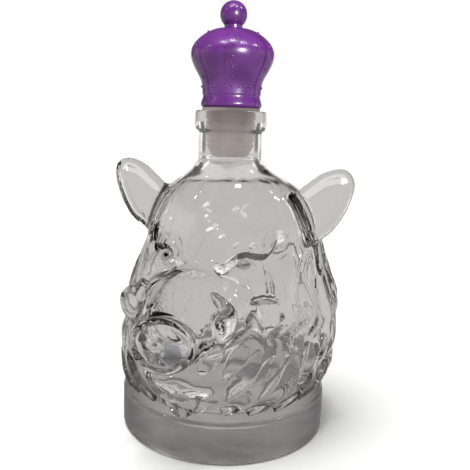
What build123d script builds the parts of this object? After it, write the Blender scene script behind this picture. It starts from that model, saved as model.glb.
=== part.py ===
from build123d import *
import os
from math import atan2, cos, degrees, radians, sin

os.makedirs("parts", exist_ok=True)

# A clear glass decanter in the form of a boar's head on a round foot, closed by a crown stopper.
# Millimetres. The origin is the centre of the foot on the table, +Z up, and the boar faces -Y.

# Foot, neck and wall of the glass
glass_wall = 4.0
floor_thickness = 6.0
base_radius = 45.7
base_height = 17.8
base_top_round = 1.7
base_foot_round = 1.2
push_up_radius = 37.0
push_up_depth = 1.4
cavity_corner_round = 3.0
neck_radius = 13.5
neck_height = 20.6
bore_radius = 10.75
finish_ring_radius = 15.4
finish_ring_height = 7.5
finish_ring_round = 0.9

# Head, without its face and ears
waist_radius = 36.0
head_height = 100.5
head_half_width = 48.2
head_half_depth = 42.0
head_set_back = 7.0

# Muzzle, nose and lower jaw
muzzle_root = 18.0
muzzle_reach = 64.0
muzzle_half_width = 22.0
muzzle_half_height = 17.0
muzzle_centre_height = 59.5
nose_half_width = 13.2
nose_half_height = 10.4
nose_thickness = 4.6
nose_round = 1.8
nose_centre_height = 53.8
nose_tilt = 8.0
nostril_half_width = 5.0
nostril_half_height = 4.0
nostril_spacing = 15.6
nostril_drop = 1.6
nostril_depth = 3.6
nostril_floor_share = 0.75
jaw_reach = 47.5
jaw_half_width = 24.0
jaw_half_height = 10.5
jaw_centre_height = 31.5

# Tusks, brows, and locks of the beard and mane
tusk_radius = 3.8
brow_radius = 3.6
chin_lock_radius = 5.0
beard_lock_radius = 5.2
lock_depth = 2.6
lock_count = 18
lock_sweep = 26.0
lock_valley_share = 0.50
points_per_lock = 4
sink_share = 0.4

# Ears
ear_span = 110.0
ear_width = 25.0
ear_height = 31.8
ear_foot_height = 85.0
ear_thickness = 5.0
ear_rim_round = 1.6
ear_dish_depth = 1.0
ear_dish_share = 0.80
ear_front_offset = 4.6

# Plug
fit_clearance = 0.05
plug_insertion = 19.3
plug_flange_radius = 12.5
plug_flange_thickness = 1.25
plug_fin_count = 3
plug_fin_height = 3.9
plug_fin_round = 0.8
plug_groove_height = 0.7
plug_groove_depth = 0.9
plug_tip_radius = 7.6
plug_tip_round = 1.6
socket_radius = 6.05
socket_depth = 15.0

# Crown and its core
crown_gap = 0.1
crown_height = 32.6
crown_belly_radius = 17.7
crown_bore_radius = 10.2
crown_bore_depth = 21.0
crown_bore_round = 3.0
crown_turn = 51.7
arch_count = 6
arch_width = 6.4
arch_rise = 0.4
bead_radius = 0.6
bead_sink = 0.15
beads_round_band = 30
finial_radius = 5.7
finial_height = 38.1
finial_neck_radius = 3.8
core_disc_thickness = 4.0
core_hub_radius = 4.0
core_rib_thickness = 1.6
core_rib_count = 4
core_end_gap = 0.8

# One overrun for every cut, and how near an edge must be to count as found
cut_overrun = 2.0
edge_tolerance = 0.01
halvings = 30

# Heights that follow from the sizes above
shoulder_height = base_height + head_height
lip_height = shoulder_height + neck_height
flange_top = lip_height + plug_flange_thickness
crown_bottom = flange_top + crown_gap

# Head from the foot up: height, half width, half depth, set back and depth of the locks
head_shares = (
    (0.045, 0.800, 0.905, 0.15, 0.80),
    (0.085, 0.895, 1.030, 0.40, 1.00),
    (0.135, 0.955, 1.000, 0.72, 1.00),
    (0.220, 0.998, 0.965, 0.86, 0.90),
    (0.320, 1.000, 1.000, 0.93, 0.75),
    (0.420, 0.995, 0.985, 1.05, 0.55),
    (0.520, 0.935, 0.945, 0.95, 0.30),
    (0.620, 0.868, 0.840, 1.00, 0.15),
    (0.720, 0.800, 0.775, 1.00, 0.00),
    (0.815, 0.706, 0.702, 0.92, 0.00),
    (0.880, 0.598, 0.610, 0.80, 0.00),
    (0.920, 0.468, 0.485, 0.55, 0.00),
    (0.953, 0.358, 0.408, 0.25, 0.00),
)

# Muzzle from its root to the nose: reach, half width, half height and centre height
muzzle_shares = (
    (0.00, 1.420, 1.150, 0.985),
    (0.30, 1.150, 1.050, 1.000),
    (0.60, 0.840, 0.820, 0.955),
    (0.84, 0.620, 0.620, 0.905),
    (0.95, 0.530, 0.520, 0.903),
)

# Lower jaw from its root to the lip: reach, half width, half height and centre height
jaw_shares = (
    (0.25, 1.10, 1.25, 1.02),
    (0.65, 0.84, 0.86, 0.97),
    (0.88, 0.60, 0.56, 0.98),
    (0.985, 0.40, 0.36, 1.02),
)

# Ear outline, outwards and upwards from its inner foot
ear_shares = (
    (0.060, 0.676),
    (0.248, 0.802),
    (0.440, 0.918),
    (0.608, 0.975),
    (0.780, 1.000),
    (0.920, 0.962),
    (0.992, 0.865),
    (1.000, 0.742),
    (0.940, 0.550),
    (0.840, 0.371),
    (0.688, 0.189),
    (0.552, 0.094),
    (0.400, 0.000),
)
ear_root_shares = ((0.150, 0.000), (-0.200, 0.580))
ear_dish_centre_share = (0.62, 0.56)

# Brow on the head's surface: turn from the muzzle in degrees, then shares of height and radius
brow_shares = (
    (11, 0.580, 0.60),
    (21, 0.632, 1.00),
    (32, 0.638, 1.00),
    (42, 0.655, 0.90),
    (46, 0.710, 0.50),
)

# Lock under the chin: shares of the jaw's reach, of the jaw's height and of its radius
chin_shares = (
    (0.80, 0.95, 0.90),
    (0.90, 0.76, 0.90),
    (0.86, 0.60, 0.40),
)

# Locks of the beard, from the jaw back: turn from the muzzle in degrees, share of the head's height, then
# how deep the point is sunk into the head and how thick it is, as shares of the lock's radius
beard_shares = (
    ((28, 0.271, 0.25, 1.00), (23, 0.166, -0.54, 0.96), (15, 0.077, -0.21, 0.69), (8, 0.025, -0.85, 0.29)),
    ((41, 0.271, 0.20, 0.92), (36, 0.161, -0.52, 0.92), (30, 0.077, -0.41, 0.69), (21, 0.022, -0.95, 0.27)),
    ((55, 0.251, 0.32, 0.88), (51, 0.146, -0.26, 0.85), (44, 0.072, -0.60, 0.65), (35, 0.021, -1.08, 0.25)),
    ((69, 0.231, 0.38, 0.81), (65, 0.131, -0.19, 0.81), (59, 0.068, -0.73, 0.62), (50, 0.022, -1.16, 0.25)),
    ((86, 0.221, 0.38, 0.69), (82, 0.131, -0.08, 0.77), (76, 0.068, -0.67, 0.58), (67, 0.026, -1.02, 0.25)),
)

# Tusk: shares of the muzzle's half width, of its reach, of its centre height and of its radius
tusk_shares = (
    (0.66, 0.70, 0.960, 1.00),
    (0.90, 0.76, 1.030, 1.00),
    (0.92, 0.78, 1.130, 0.80),
    (0.66, 0.78, 1.215, 0.40),
)

# Rounding of a horn's two ends: shares of the end's radius, outwards and across
horn_end_shares = ((0.60, 0.80), (0.92, 0.39))

# Crown outline from its mouth to its top, and its bead rows: shares of the belly and of the height
crown_band_shares = (
    (0.688, 0.000),
    (0.733, 0.030),
    (0.716, 0.090),
    (0.690, 0.155),
)
crown_body_shares = (
    (0.708, 0.172),
    (0.715, 0.255),
    (0.752, 0.350),
    (0.828, 0.430),
    (0.930, 0.535),
    (0.993, 0.635),
    (0.985, 0.722),
    (0.815, 0.854),
    (0.450, 0.975),
    (0.185, 1.000),
)
arch_bead_shares = (0.367, 0.478, 0.600, 0.752, 0.925)
band_bead_share = 0.260


def standing_cylinder(radius, low, high):
    standing = (Align.CENTER, Align.CENTER, Align.MIN)
    return Pos(0, 0, low) * Cylinder(radius, high - low, align=standing)


def ring_edges(solid, radius, height):
    """The round edges of a turned solid at one radius and height."""
    found = []
    for edge in solid.edges().filter_by(GeomType.CIRCLE):
        if abs(edge.radius - radius) < edge_tolerance and abs(edge.center().Z - height) < edge_tolerance:
            found.append(edge)
    return found


def ellipse_wire(plane, half_wide, half_high):
    if half_wide > half_high:
        return (plane * Ellipse(half_wide, half_high)).wire()
    if half_wide < half_high:
        return (plane * Rot(0, 0, 90) * Ellipse(half_high, half_wide)).wire()
    return (plane * Circle(half_wide)).wire()


def head_stations():
    """Height, half width, half depth, set back and depth of the locks, from the foot to the neck."""
    stations = [(base_height - base_top_round, waist_radius, waist_radius, 0.0, 0.0)]
    for height, wide, deep, back, locks in head_shares:
        station_height = base_height + height * head_height
        half_width = wide * head_half_width
        half_depth = deep * head_half_depth
        set_back = back * head_set_back
        stations.append((station_height, half_width, half_depth, set_back, locks * lock_depth))
    stations.append((shoulder_height, neck_radius, neck_radius, 0.0, 0.0))
    return stations


def inner_stations():
    """The same stations moved in by the glass wall, square to the head's slope."""
    outer = head_stations()
    inner = []
    for i, (height, wide, deep, back, locks) in enumerate(outer):
        below = outer[max(i - 1, 0)]
        above = outer[min(i + 1, len(outer) - 1)]
        slope = atan2(below[1] - above[1], above[0] - below[0])
        inset = glass_wall * cos(slope)
        half_width = max(wide - inset, bore_radius)
        half_depth = max(deep - inset, bore_radius)
        inner.append((height - glass_wall * sin(slope), half_width, half_depth, back))
    return inner


def head_wire(height, wide, deep, back, locks):
    """An oval section of the head whose edge swells into locks, the same on both sides."""
    count = lock_count * points_per_lock
    sweep = lock_sweep * (height - base_height) / head_height
    points = []
    for i in range(count):
        turn = 360 * i / count - 180
        wave = abs(cos(radians((abs(turn) - sweep) * lock_count / 2)))
        swell = locks * (wave - lock_valley_share)
        across = (wide + swell) * sin(radians(turn))
        points.append(Vector(across, back - (deep + swell) * cos(radians(turn)), height))
    return Wire(Edge.make_spline(points, periodic=True))


def make_head():
    return Solid.make_loft([head_wire(*station) for station in head_stations()])


def make_head_hollow():
    wires = []
    for height, wide, deep, back in inner_stations():
        wires.append(ellipse_wire(Plane(origin=(0, back, height)), wide, deep))
    return Solid.make_loft(wires)


def head_point(turn, height_share, sink):
    """A point on the head, turned in degrees from the muzzle and sunk into the surface."""
    height = base_height + height_share * head_height
    wide, deep, back = head_half_width, head_half_depth, head_set_back
    stations = head_stations()
    for low, high in zip(stations, stations[1:]):
        if low[0] <= height <= high[0]:
            part = (height - low[0]) / (high[0] - low[0])
            wide, deep, back = (low[i] + part * (high[i] - low[i]) for i in (1, 2, 3))
    across = (wide - sink) * sin(radians(turn))
    return Vector(across, back - (deep - sink) * cos(radians(turn)), height)


def horn(points, radii):
    """A curved, tapering, round-ended horn through the points."""
    first = (points[1] - points[0]).normalized()
    last = (points[-1] - points[-2]).normalized()
    sections = []
    for outwards, across in reversed(horn_end_shares):
        sections.append((points[0] - first * radii[0] * outwards, first, radii[0] * across))
    for i, point in enumerate(points):
        before = points[max(i - 1, 0)]
        after = points[min(i + 1, len(points) - 1)]
        sections.append((point, after - before, radii[i]))
    for outwards, across in horn_end_shares:
        sections.append((points[-1] + last * radii[-1] * outwards, last, radii[-1] * across))
    wires = []
    for centre, along, radius in sections:
        wires.append((Plane(origin=centre, z_dir=along) * Circle(radius)).wire())
    return Solid.make_loft(wires)


def make_brow():
    """A ridge that lies on the head, sunk into it by a share of its own radius."""
    points = []
    radii = []
    for turn, height, thick in brow_shares:
        radius = thick * brow_radius
        points.append(head_point(turn, height, sink_share * radius))
        radii.append(radius)
    return horn(points, radii)


def make_beard_lock(shares):
    """A heavy pointed lock that hangs from the jaw or the cheek over the edge of the foot."""
    points = []
    radii = []
    for turn, height, sink, thick in shares:
        points.append(head_point(turn, height, sink * beard_lock_radius))
        radii.append(thick * beard_lock_radius)
    return horn(points, radii)


def both_sides(solids):
    return solids + [mirror(solid, about=Plane.YZ) for solid in solids]


def forward_plane(reach, height, tilt=0.0):
    """An upright plane across the face at the reach, tipped back by the tilt in degrees."""
    facing = (0, -cos(radians(tilt)), sin(radians(tilt)))
    return Plane(origin=(0, -reach, height), x_dir=(1, 0, 0), z_dir=facing)


def face_loft(shares, root, reach, half_wide, half_high, centre_height, wall=0.0):
    """A loft of upright ellipses from the root to the reach, made smaller all round by the wall."""
    wires = []
    for along, wide, high, centre in shares:
        plane = forward_plane(root + along * (reach - root), centre * centre_height)
        wires.append(ellipse_wire(plane, wide * half_wide - wall, high * half_high - wall))
    return Solid.make_loft(wires)


def make_foot():
    foot = standing_cylinder(base_radius, 0, base_height)
    foot = fillet(ring_edges(foot, base_radius, base_height), base_top_round)
    foot = fillet(ring_edges(foot, base_radius, 0), base_foot_round)
    return foot


def make_push_up():
    """The shallow hollow under the foot, which leaves a flat ring to stand on."""
    ball_radius = (push_up_radius**2 + push_up_depth**2) / (2 * push_up_depth)
    return Pos(0, 0, push_up_depth - ball_radius) * Sphere(ball_radius)


def make_neck():
    neck = standing_cylinder(neck_radius, shoulder_height - cut_overrun, lip_height)
    ring_bottom = lip_height - finish_ring_height
    ring = standing_cylinder(finish_ring_radius, ring_bottom, lip_height)
    ring = fillet(ring_edges(ring, finish_ring_radius, lip_height), finish_ring_round)
    ring = fillet(ring_edges(ring, finish_ring_radius, ring_bottom), finish_ring_round)
    return [neck, ring]


def make_muzzle(wall=0.0):
    """The muzzle, or the hollow inside it when it is given the wall."""
    root = muzzle_root - wall
    reach = muzzle_reach - wall
    half_sizes = (muzzle_half_width, muzzle_half_height)
    return face_loft(muzzle_shares, root, reach, *half_sizes, muzzle_centre_height, wall)


def make_jaw():
    half_sizes = (jaw_half_width, jaw_half_height)
    return face_loft(jaw_shares, 0, jaw_reach, *half_sizes, jaw_centre_height)


def make_nose():
    plane = forward_plane(muzzle_reach - nose_thickness, nose_centre_height, nose_tilt)
    pad = extrude(plane * Ellipse(nose_half_width, nose_half_height), nose_thickness)
    front = pad.faces().sort_by(Axis.Y)[0]
    return fillet(front.edges(), nose_round)


def make_nostrils():
    face = forward_plane(muzzle_reach, nose_centre_height, nose_tilt)
    nostrils = []
    for side in (-1, 1):
        floor = face * Pos(side * nostril_spacing / 2, -nostril_drop, -nostril_depth)
        mouth = face * Pos(side * nostril_spacing / 2, -nostril_drop, nose_thickness)
        floor_half_width = nostril_half_width * nostril_floor_share
        floor_half_height = nostril_half_height * nostril_floor_share
        floor_wire = (floor * Ellipse(floor_half_width, floor_half_height)).wire()
        mouth_wire = (mouth * Ellipse(nostril_half_width, nostril_half_height)).wire()
        nostrils.append(Solid.make_loft([floor_wire, mouth_wire]))
    return nostrils


def ear_points(shares, scale, reach):
    """Points of the ear, scaled about its dish centre, on an upright plane at the reach."""
    centre_across, centre_up = ear_dish_centre_share
    inner_edge = ear_span / 2 - ear_width
    points = []
    for across, up in shares:
        wide = centre_across + scale * (across - centre_across)
        high = centre_up + scale * (up - centre_up)
        points.append(Vector(inner_edge + wide * ear_width, -reach, ear_foot_height + high * ear_height))
    return points


def ear_face(scale, reach):
    """The ear's leaf-shaped outline, closed by its root inside the head."""
    leaf = ear_points(ear_shares, scale, reach)
    root = ear_points(ear_root_shares, scale, reach)
    corners = [leaf[-1]] + root + [leaf[0]]
    sides = [Edge.make_line(start, end) for start, end in zip(corners, corners[1:])]
    return Face(Wire([Edge.make_spline(leaf)] + sides))


def make_ear():
    """A leaf-shaped ear, thick at its rim and dished on both faces."""
    ear = extrude(ear_face(1, ear_front_offset), ear_thickness, dir=(0, 1, 0))
    ear = fillet(ear.faces().filter_by(Axis.Y).edges(), ear_rim_round)
    front_reach = ear_front_offset + cut_overrun
    back_reach = ear_front_offset - ear_thickness + ear_dish_depth
    for reach in (front_reach, back_reach):
        ear = ear - extrude(ear_face(ear_dish_share, reach), ear_dish_depth + cut_overrun, dir=(0, 1, 0))
    return ear


def make_tusk():
    points = []
    radii = []
    for across, forward, up, thick in tusk_shares:
        place = (across * muzzle_half_width, -forward * muzzle_reach, up * muzzle_centre_height)
        points.append(Vector(*place))
        radii.append(thick * tusk_radius)
    return horn(points, radii)


def make_chin_lock():
    points = [Vector(0, -along * jaw_reach, up * jaw_centre_height) for along, up, thick in chin_shares]
    return horn(points, [thick * chin_lock_radius for along, up, thick in chin_shares])


def make_cavity():
    """The space for the liquid: the foot, the head, the muzzle and the bore of the neck."""
    inner = inner_stations()
    foot_top = base_height - glass_wall
    foot = standing_cylinder(base_radius - glass_wall, floor_thickness, foot_top)
    corner_round = min(cavity_corner_round, (foot_top - floor_thickness) * sink_share)
    foot = fillet(foot.edges().filter_by(GeomType.CIRCLE), corner_round)
    waist = standing_cylinder(waist_radius - glass_wall, floor_thickness, inner[1][0])
    bore = standing_cylinder(bore_radius, inner[-1][0] - cut_overrun, lip_height + cut_overrun)
    return [make_head_hollow(), foot, waist, bore, make_muzzle(glass_wall)]


def make_bottle():
    added = [make_foot(), make_muzzle(), make_jaw(), make_nose()] + make_neck()
    added += both_sides([make_ear(), make_tusk(), make_brow()]) + [make_chin_lock()]
    added += both_sides([make_beard_lock(shares) for shares in beard_shares])
    bottle = Part() + make_head() + added
    cavity = Part() + make_cavity()
    return bottle - cavity - make_nostrils() - make_push_up()


def make_plug():
    """The ribbed plug: a flange on the lip, round fins in the bore, and a blind socket."""
    fin_radius = bore_radius - fit_clearance
    plug_bottom = lip_height - plug_insertion
    fin_pitch = plug_fin_height + plug_groove_height
    fins_bottom = lip_height - plug_fin_count * fin_pitch
    stem = standing_cylinder(fin_radius - plug_groove_depth, fins_bottom - cut_overrun, lip_height)
    tip_height = fins_bottom - plug_bottom
    tip = Cone(plug_tip_radius, fin_radius, tip_height, align=(Align.CENTER, Align.CENTER, Align.MIN))
    tip = Pos(0, 0, plug_bottom) * tip
    tip = fillet(ring_edges(tip, plug_tip_radius, plug_bottom), plug_tip_round)
    plug = tip + stem + standing_cylinder(plug_flange_radius, lip_height, flange_top)
    for i in range(plug_fin_count):
        low = fins_bottom + plug_groove_height + i * fin_pitch
        fin = standing_cylinder(fin_radius, low, low + plug_fin_height)
        plug = plug + fillet(fin.edges().filter_by(GeomType.CIRCLE), plug_fin_round)
    return plug - standing_cylinder(socket_radius, flange_top - socket_depth, flange_top + cut_overrun)


def crown_outline(shares, rise):
    scale = crown_belly_radius + rise
    return Edge.make_spline([Vector(r * scale, 0, crown_bottom + z * crown_height) for r, z in shares])


def crown_face(rise):
    """Half of the crown's section in the XZ plane, raised from its surface."""
    band = crown_outline(crown_band_shares, rise)
    body = crown_outline(crown_body_shares, rise)
    foot = Vector(0, 0, crown_bottom)
    top = Vector(0, 0, crown_bottom + crown_height)
    step = Edge.make_line(band @ 1, body @ 0)
    ends = [Edge.make_line(foot, band @ 0), Edge.make_line(body @ 1, top), Edge.make_line(top, foot)]
    return Face(Wire([band, step, body] + ends))


def crown_edge_point(height_share):
    """The point of the crown's outline at a height, found by halving the outline's span."""
    outline = crown_outline(crown_body_shares, 0)
    height = crown_bottom + height_share * crown_height
    low, high = 0.0, 1.0
    for _ in range(halvings):
        middle = (low + high) / 2
        if (outline @ middle).Z < height:
            low = middle
        else:
            high = middle
    return outline @ low


def make_beads():
    """Round studs up the middle of each arch, and a row of them round the band."""
    beads = []
    band_bead = Pos(crown_edge_point(band_bead_share)) * Pos(-bead_sink, 0, 0) * Sphere(bead_radius)
    for i in range(beads_round_band):
        beads.append(Rot(0, 0, crown_turn + i * 360 / beads_round_band) * band_bead)
    for share in arch_bead_shares:
        arch_bead = Pos(crown_edge_point(share)) * Pos(arch_rise - bead_sink, 0, 0) * Sphere(bead_radius)
        for i in range(arch_count):
            beads.append(Rot(0, 0, crown_turn + i * 360 / arch_count) * arch_bead)
    return beads


def make_crown_shell():
    """The crown with its arches, studs and ball, bored from below for its core."""
    shell = Part() + revolve(crown_face(0), Axis.Z, 360)
    arch_turn = degrees(arch_width / crown_belly_radius)
    arch = Rot(0, 0, crown_turn - arch_turn / 2) * revolve(crown_face(arch_rise), Axis.Z, arch_turn)
    arches = [Rot(0, 0, i * 360 / arch_count) * arch for i in range(arch_count)]
    crown_top = crown_bottom + crown_height
    ball_height = crown_bottom + finial_height
    ball = Pos(0, 0, ball_height) * Sphere(finial_radius)
    finial_neck = standing_cylinder(finial_neck_radius, crown_top - cut_overrun, ball_height)
    shell = shell + arches + make_beads() + [ball, finial_neck]
    bore_top = crown_bottom + crown_bore_depth
    bore = standing_cylinder(crown_bore_radius, crown_bottom - cut_overrun, bore_top)
    bore = fillet(ring_edges(bore, crown_bore_radius, bore_top), crown_bore_round)
    return shell - bore


def make_crown_core():
    """The insert in the crown's bore: a disc, a ribbed hub, and the spigot for the plug's socket."""
    disc_radius = crown_bore_radius - fit_clearance
    hub_top = crown_bottom + crown_bore_depth - core_end_gap
    core = standing_cylinder(disc_radius, crown_bottom, crown_bottom + core_disc_thickness)
    core = core + standing_cylinder(core_hub_radius, crown_bottom, hub_top)
    rib_high = crown_bore_depth - crown_bore_round - core_end_gap
    rib_place = Pos(disc_radius / 2, 0, crown_bottom + rib_high / 2)
    rib = rib_place * Box(disc_radius, core_rib_thickness, rib_high)
    rib = rib & standing_cylinder(disc_radius, crown_bottom, hub_top)
    for i in range(core_rib_count):
        core = core + Rot(0, 0, i * 360 / core_rib_count) * rib
    spigot_radius = socket_radius - fit_clearance
    spigot_bottom = flange_top - socket_depth + core_end_gap
    return core + standing_cylinder(spigot_radius, spigot_bottom, crown_bottom + core_disc_thickness)


pieces = {
    "glass_bottle": make_bottle(),
    "stopper_plug": make_plug(),
    "crown_shell": make_crown_shell(),
    "crown_core": make_crown_core(),
}
for name, shape in pieces.items():
    export_step(shape, "parts/" + name + ".step")
    print(name, "solids", len(shape.solids()), "volume", round(shape.volume), "valid", shape.is_valid)
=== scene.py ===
# %% [markdown]
# # A glass boar's head decanter with a crown stopper
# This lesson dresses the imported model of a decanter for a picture. The first cell loads the model as a
# fixed frame. Every later piece is made in the same metres, so nothing has to be fitted afterwards.
# %% Load the frame
from math import atan2, cos, pi, radians, sin
import bmesh
import bpy
import numpy as np
from mathutils import Matrix, Vector


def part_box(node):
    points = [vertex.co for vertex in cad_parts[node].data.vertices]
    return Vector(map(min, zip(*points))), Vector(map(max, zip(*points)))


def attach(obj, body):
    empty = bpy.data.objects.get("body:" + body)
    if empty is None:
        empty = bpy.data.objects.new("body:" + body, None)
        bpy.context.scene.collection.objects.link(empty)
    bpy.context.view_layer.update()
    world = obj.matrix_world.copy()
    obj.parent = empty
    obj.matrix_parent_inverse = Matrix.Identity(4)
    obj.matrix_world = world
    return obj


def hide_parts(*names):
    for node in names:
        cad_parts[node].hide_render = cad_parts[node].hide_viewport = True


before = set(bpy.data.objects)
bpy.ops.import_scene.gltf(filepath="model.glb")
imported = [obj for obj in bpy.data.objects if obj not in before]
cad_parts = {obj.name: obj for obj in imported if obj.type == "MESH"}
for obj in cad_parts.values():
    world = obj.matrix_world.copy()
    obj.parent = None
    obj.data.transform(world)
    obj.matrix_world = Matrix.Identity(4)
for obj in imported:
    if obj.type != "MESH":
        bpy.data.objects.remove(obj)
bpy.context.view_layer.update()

MM = 0.001

# %% [markdown]
# The camera comes first, because every later choice is judged through it. It stands where the
# photographer stood: a little right of the snout, slightly above the ears, and rolled by under two
# degrees. It could be moved by eye until the picture fits. Here its place, direction and lens were
# solved from the round edges of foot, lip and crown, whose ellipses leave little to guess.
# %% Camera
CAMERA_PLACE = Vector((97.41, -244.90, 133.79)) * MM
LENS_MM = 46.03
SENSOR_MM = 36.0
NEAR_CLIP = 0.01
PITCH_DOWN = radians(10.52)
ROLL = radians(1.745)
LEVEL_LOOK = Vector((-0.358, 0.934, 0.0)).normalized()


def camera_axes():
    look = LEVEL_LOOK * cos(PITCH_DOWN) - Vector((0, 0, sin(PITCH_DOWN)))
    right = look.cross(Vector((0, 0, 1))).normalized()
    up = right.cross(look)
    rolled_right = right * cos(ROLL) + up * sin(ROLL)
    rolled_up = up * cos(ROLL) - right * sin(ROLL)
    return rolled_right, rolled_up, look


def make_camera():
    right, up, look = camera_axes()
    turn = Matrix((right, up, -look)).transposed().to_4x4()
    data = bpy.data.cameras.new("camera")
    data.lens = LENS_MM
    data.sensor_width = SENSOR_MM
    data.clip_start = NEAR_CLIP
    camera = bpy.data.objects.new("camera", data)
    camera.matrix_world = Matrix.Translation(CAMERA_PLACE) @ turn
    bpy.context.scene.collection.objects.link(camera)
    bpy.context.scene.camera = camera
    return camera


camera = make_camera()
print("camera at", [round(c, 3) for c in camera.location], "lens", LENS_MM, "mm")

# %% [markdown]
# The bottle is one moulding of clear glass: a round foot, the head with its relief, and a plain neck.
# A moulder's model for it is sculpted, so it is made here as a sculptor would: rough forms are blocked
# out from rings, melted into one skin by a voxel remesh, and then carved. The first helpers draw a
# smooth curve through a few rows of sizes and place a ring in space, because a few well chosen rows
# are easier to correct than hundreds of points.
# %% Rows and rings
def eased(rows, per_span):
    """Rows of numbers with smooth (Catmull-Rom) rows put in between."""
    rows = np.array(rows, float)
    padded = np.vstack([2 * rows[0] - rows[1], rows, 2 * rows[-1] - rows[-2]])
    made = []
    for i in range(1, len(padded) - 2):
        a, b, c, d = padded[i - 1:i + 3]
        for t in np.linspace(0, 1, per_span, endpoint=False):
            cubic = (d - a + 3 * (b - c)) * t ** 3 + (2 * a - 5 * b + 4 * c - d) * t ** 2
            made.append(0.5 * (cubic + (c - a) * t + 2 * b))
    made.append(rows[-1])
    return np.array(made)


def aim(centre, along, wide, high, roll_up=Vector((0, 0, 1))):
    """The placing of a unit ring: its centre, the way it faces, and its two half sizes."""
    along = Vector(along).normalized()
    across = Vector(roll_up).cross(along)
    if across.length < 1e-4:
        across = Vector((1, 0, 0))
    across.normalize()
    up = along.cross(across)
    turn = Matrix((across * wide, up * high, along)).transposed().to_4x4()
    return Matrix.Translation(Vector(centre)) @ turn


print("a smooth row halfway:", eased([(0, 0), (1, 1), (2, 0)], 2)[1])

# %% [markdown]
# A loft bridges rings into a closed form, as a boat's skin is laid over its frames. A metaball or a
# sculpted ball would also give round forms, but a loft has exactly the sizes in its table. The other
# helpers finish a mesh: they cut its large end faces, turn its faces outwards and apply modifiers.
# %% Lofts and finished meshes
RING_STEPS = 64


def loft(bm, placings, segments=RING_STEPS, squareness=1.0):
    """One closed form through unit circles set by the placings. Under 1 the rings turn squarer."""
    rings = []
    for placing in placings:
        ring = bmesh.ops.create_circle(bm, segments=segments, radius=1, cap_ends=False)
        for vert in ring["verts"]:
            x, y = vert.co.x, vert.co.y
            square = (abs(x) ** squareness * np.sign(x), abs(y) ** squareness * np.sign(y), 0)
            vert.co = placing @ Vector(square)
        rings.append(ring["verts"])
    for low, high in zip(rings, rings[1:]):
        edges = {e for v in low for e in v.link_edges if e.other_vert(v) in low}
        edges |= {e for v in high for e in v.link_edges if e.other_vert(v) in high}
        bmesh.ops.bridge_loops(bm, edges=list(edges))
    for ring in (rings[0], rings[-1]):
        bmesh.ops.contextual_create(bm, geom=ring)
    return rings


def cut_large_faces(bm):
    """Splits the end faces of lofts into triangles, which remesh and Booleans take more safely."""
    bmesh.ops.triangulate(bm, faces=[f for f in bm.faces if len(f.verts) > 4])


def mesh_piece(name, bm):
    """A finished bmesh as an object, with its normals turned outwards."""
    bmesh.ops.recalc_face_normals(bm, faces=bm.faces)
    mesh = bpy.data.meshes.new(name)
    bm.to_mesh(mesh)
    bm.free()
    piece = bpy.data.objects.new(name, mesh)
    bpy.context.scene.collection.objects.link(piece)
    return piece


def with_modifiers(piece):
    """Applies the piece's modifiers, so that its mesh is the finished one."""
    graph = bpy.context.evaluated_depsgraph_get()
    made = bpy.data.meshes.new_from_object(piece.evaluated_get(graph))
    piece.modifiers.clear()
    old = piece.data
    piece.data = made
    bpy.data.meshes.remove(old)
    return piece


print("rings have", RING_STEPS, "steps")

# %% [markdown]
# The head's rough form is an egg that narrows to the neck. It could be a scaled ball, but a table of
# levels follows the outline in the photograph more closely. One row is one level: its height, half
# width, half depth, and how far its centre lies back of the bottle's axis. The lip's height comes from
# the frame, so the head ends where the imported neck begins.
# %% Head block
bottle_low, bottle_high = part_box("glass_bottle")
LIP = bottle_high[2] / MM
NECK_HIGH = 20.6
SHOULDER = LIP - NECK_HIGH
WAIST = 16.1
HEAD_ROWS = (
    (WAIST - 3.0, 35.0, 35.0, 0.0),
    (22.3, 38.6, 38.0, 1.0),
    (26.3, 43.2, 43.2, 2.8),
    (31.4, 46.0, 42.0, 5.0),
    (39.9, 48.1, 40.5, 6.0),
    (50.0, 48.2, 42.0, 6.5),
    (60.0, 47.9, 41.4, 7.3),
    (70.1, 45.1, 39.7, 6.6),
    (80.1, 41.8, 35.3, 7.0),
    (90.2, 38.6, 32.5, 7.0),
    (99.7, 34.0, 29.5, 6.4),
    (106.2, 28.8, 25.6, 5.6),
    (110.3, 22.6, 20.4, 3.8),
    (113.6, 17.3, 17.1, 1.7),
    (SHOULDER, 13.9, 13.9, 0.2),
    (SHOULDER + 4.0, 12.4, 12.4, 0.0),
)
ROWS_BETWEEN = 3


def level_ring(height, wide, deep, back):
    return aim((0, back, height), (0, 0, 1), wide, deep, Vector((0, -1, 0)))


def head_block(bm):
    loft(bm, [level_ring(*row) for row in eased(HEAD_ROWS, ROWS_BETWEEN)])


print("head from", HEAD_ROWS[0][0], "to", HEAD_ROWS[-1][0], "mm, lip at", round(LIP, 2), "mm")

# %% [markdown]
# The muzzle is short and broad, and the lower jaw stops well behind it, which leaves the mouth open.
# Both could be pulled out of the head's faces, but then they would share its rings. As lofts of
# upright ellipses that run forwards they have their own, and the melt joins them to the head later. A
# row is the reach in front of the axis, the half width, the half height, and the centre's height.
# %% Muzzle and jaw blocks
MUZZLE_ROWS = (
    (12.0, 30.0, 20.0, 58.6),
    (32.0, 25.3, 17.8, 59.5),
    (45.6, 18.5, 14.0, 56.8),
    (56.6, 13.7, 10.6, 53.9),
    (62.2, 12.2, 9.3, 53.8),
)
JAW_ROWS = (
    (12.0, 26.4, 13.1, 32.1),
    (31.0, 20.2, 9.0, 30.6),
    (41.0, 14.6, 6.6, 31.2),
    (45.5, 10.4, 4.6, 32.2),
    (47.3, 6.0, 2.6, 33.0),
)


def face_ring(reach, wide, high, height, smaller=0.0):
    return aim((0, -reach, height), (0, -1, 0), wide - smaller, high - smaller)


print("muzzle", MUZZLE_ROWS[-1][0], "mm and jaw", JAW_ROWS[-1][0], "mm in front of the axis")

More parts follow.
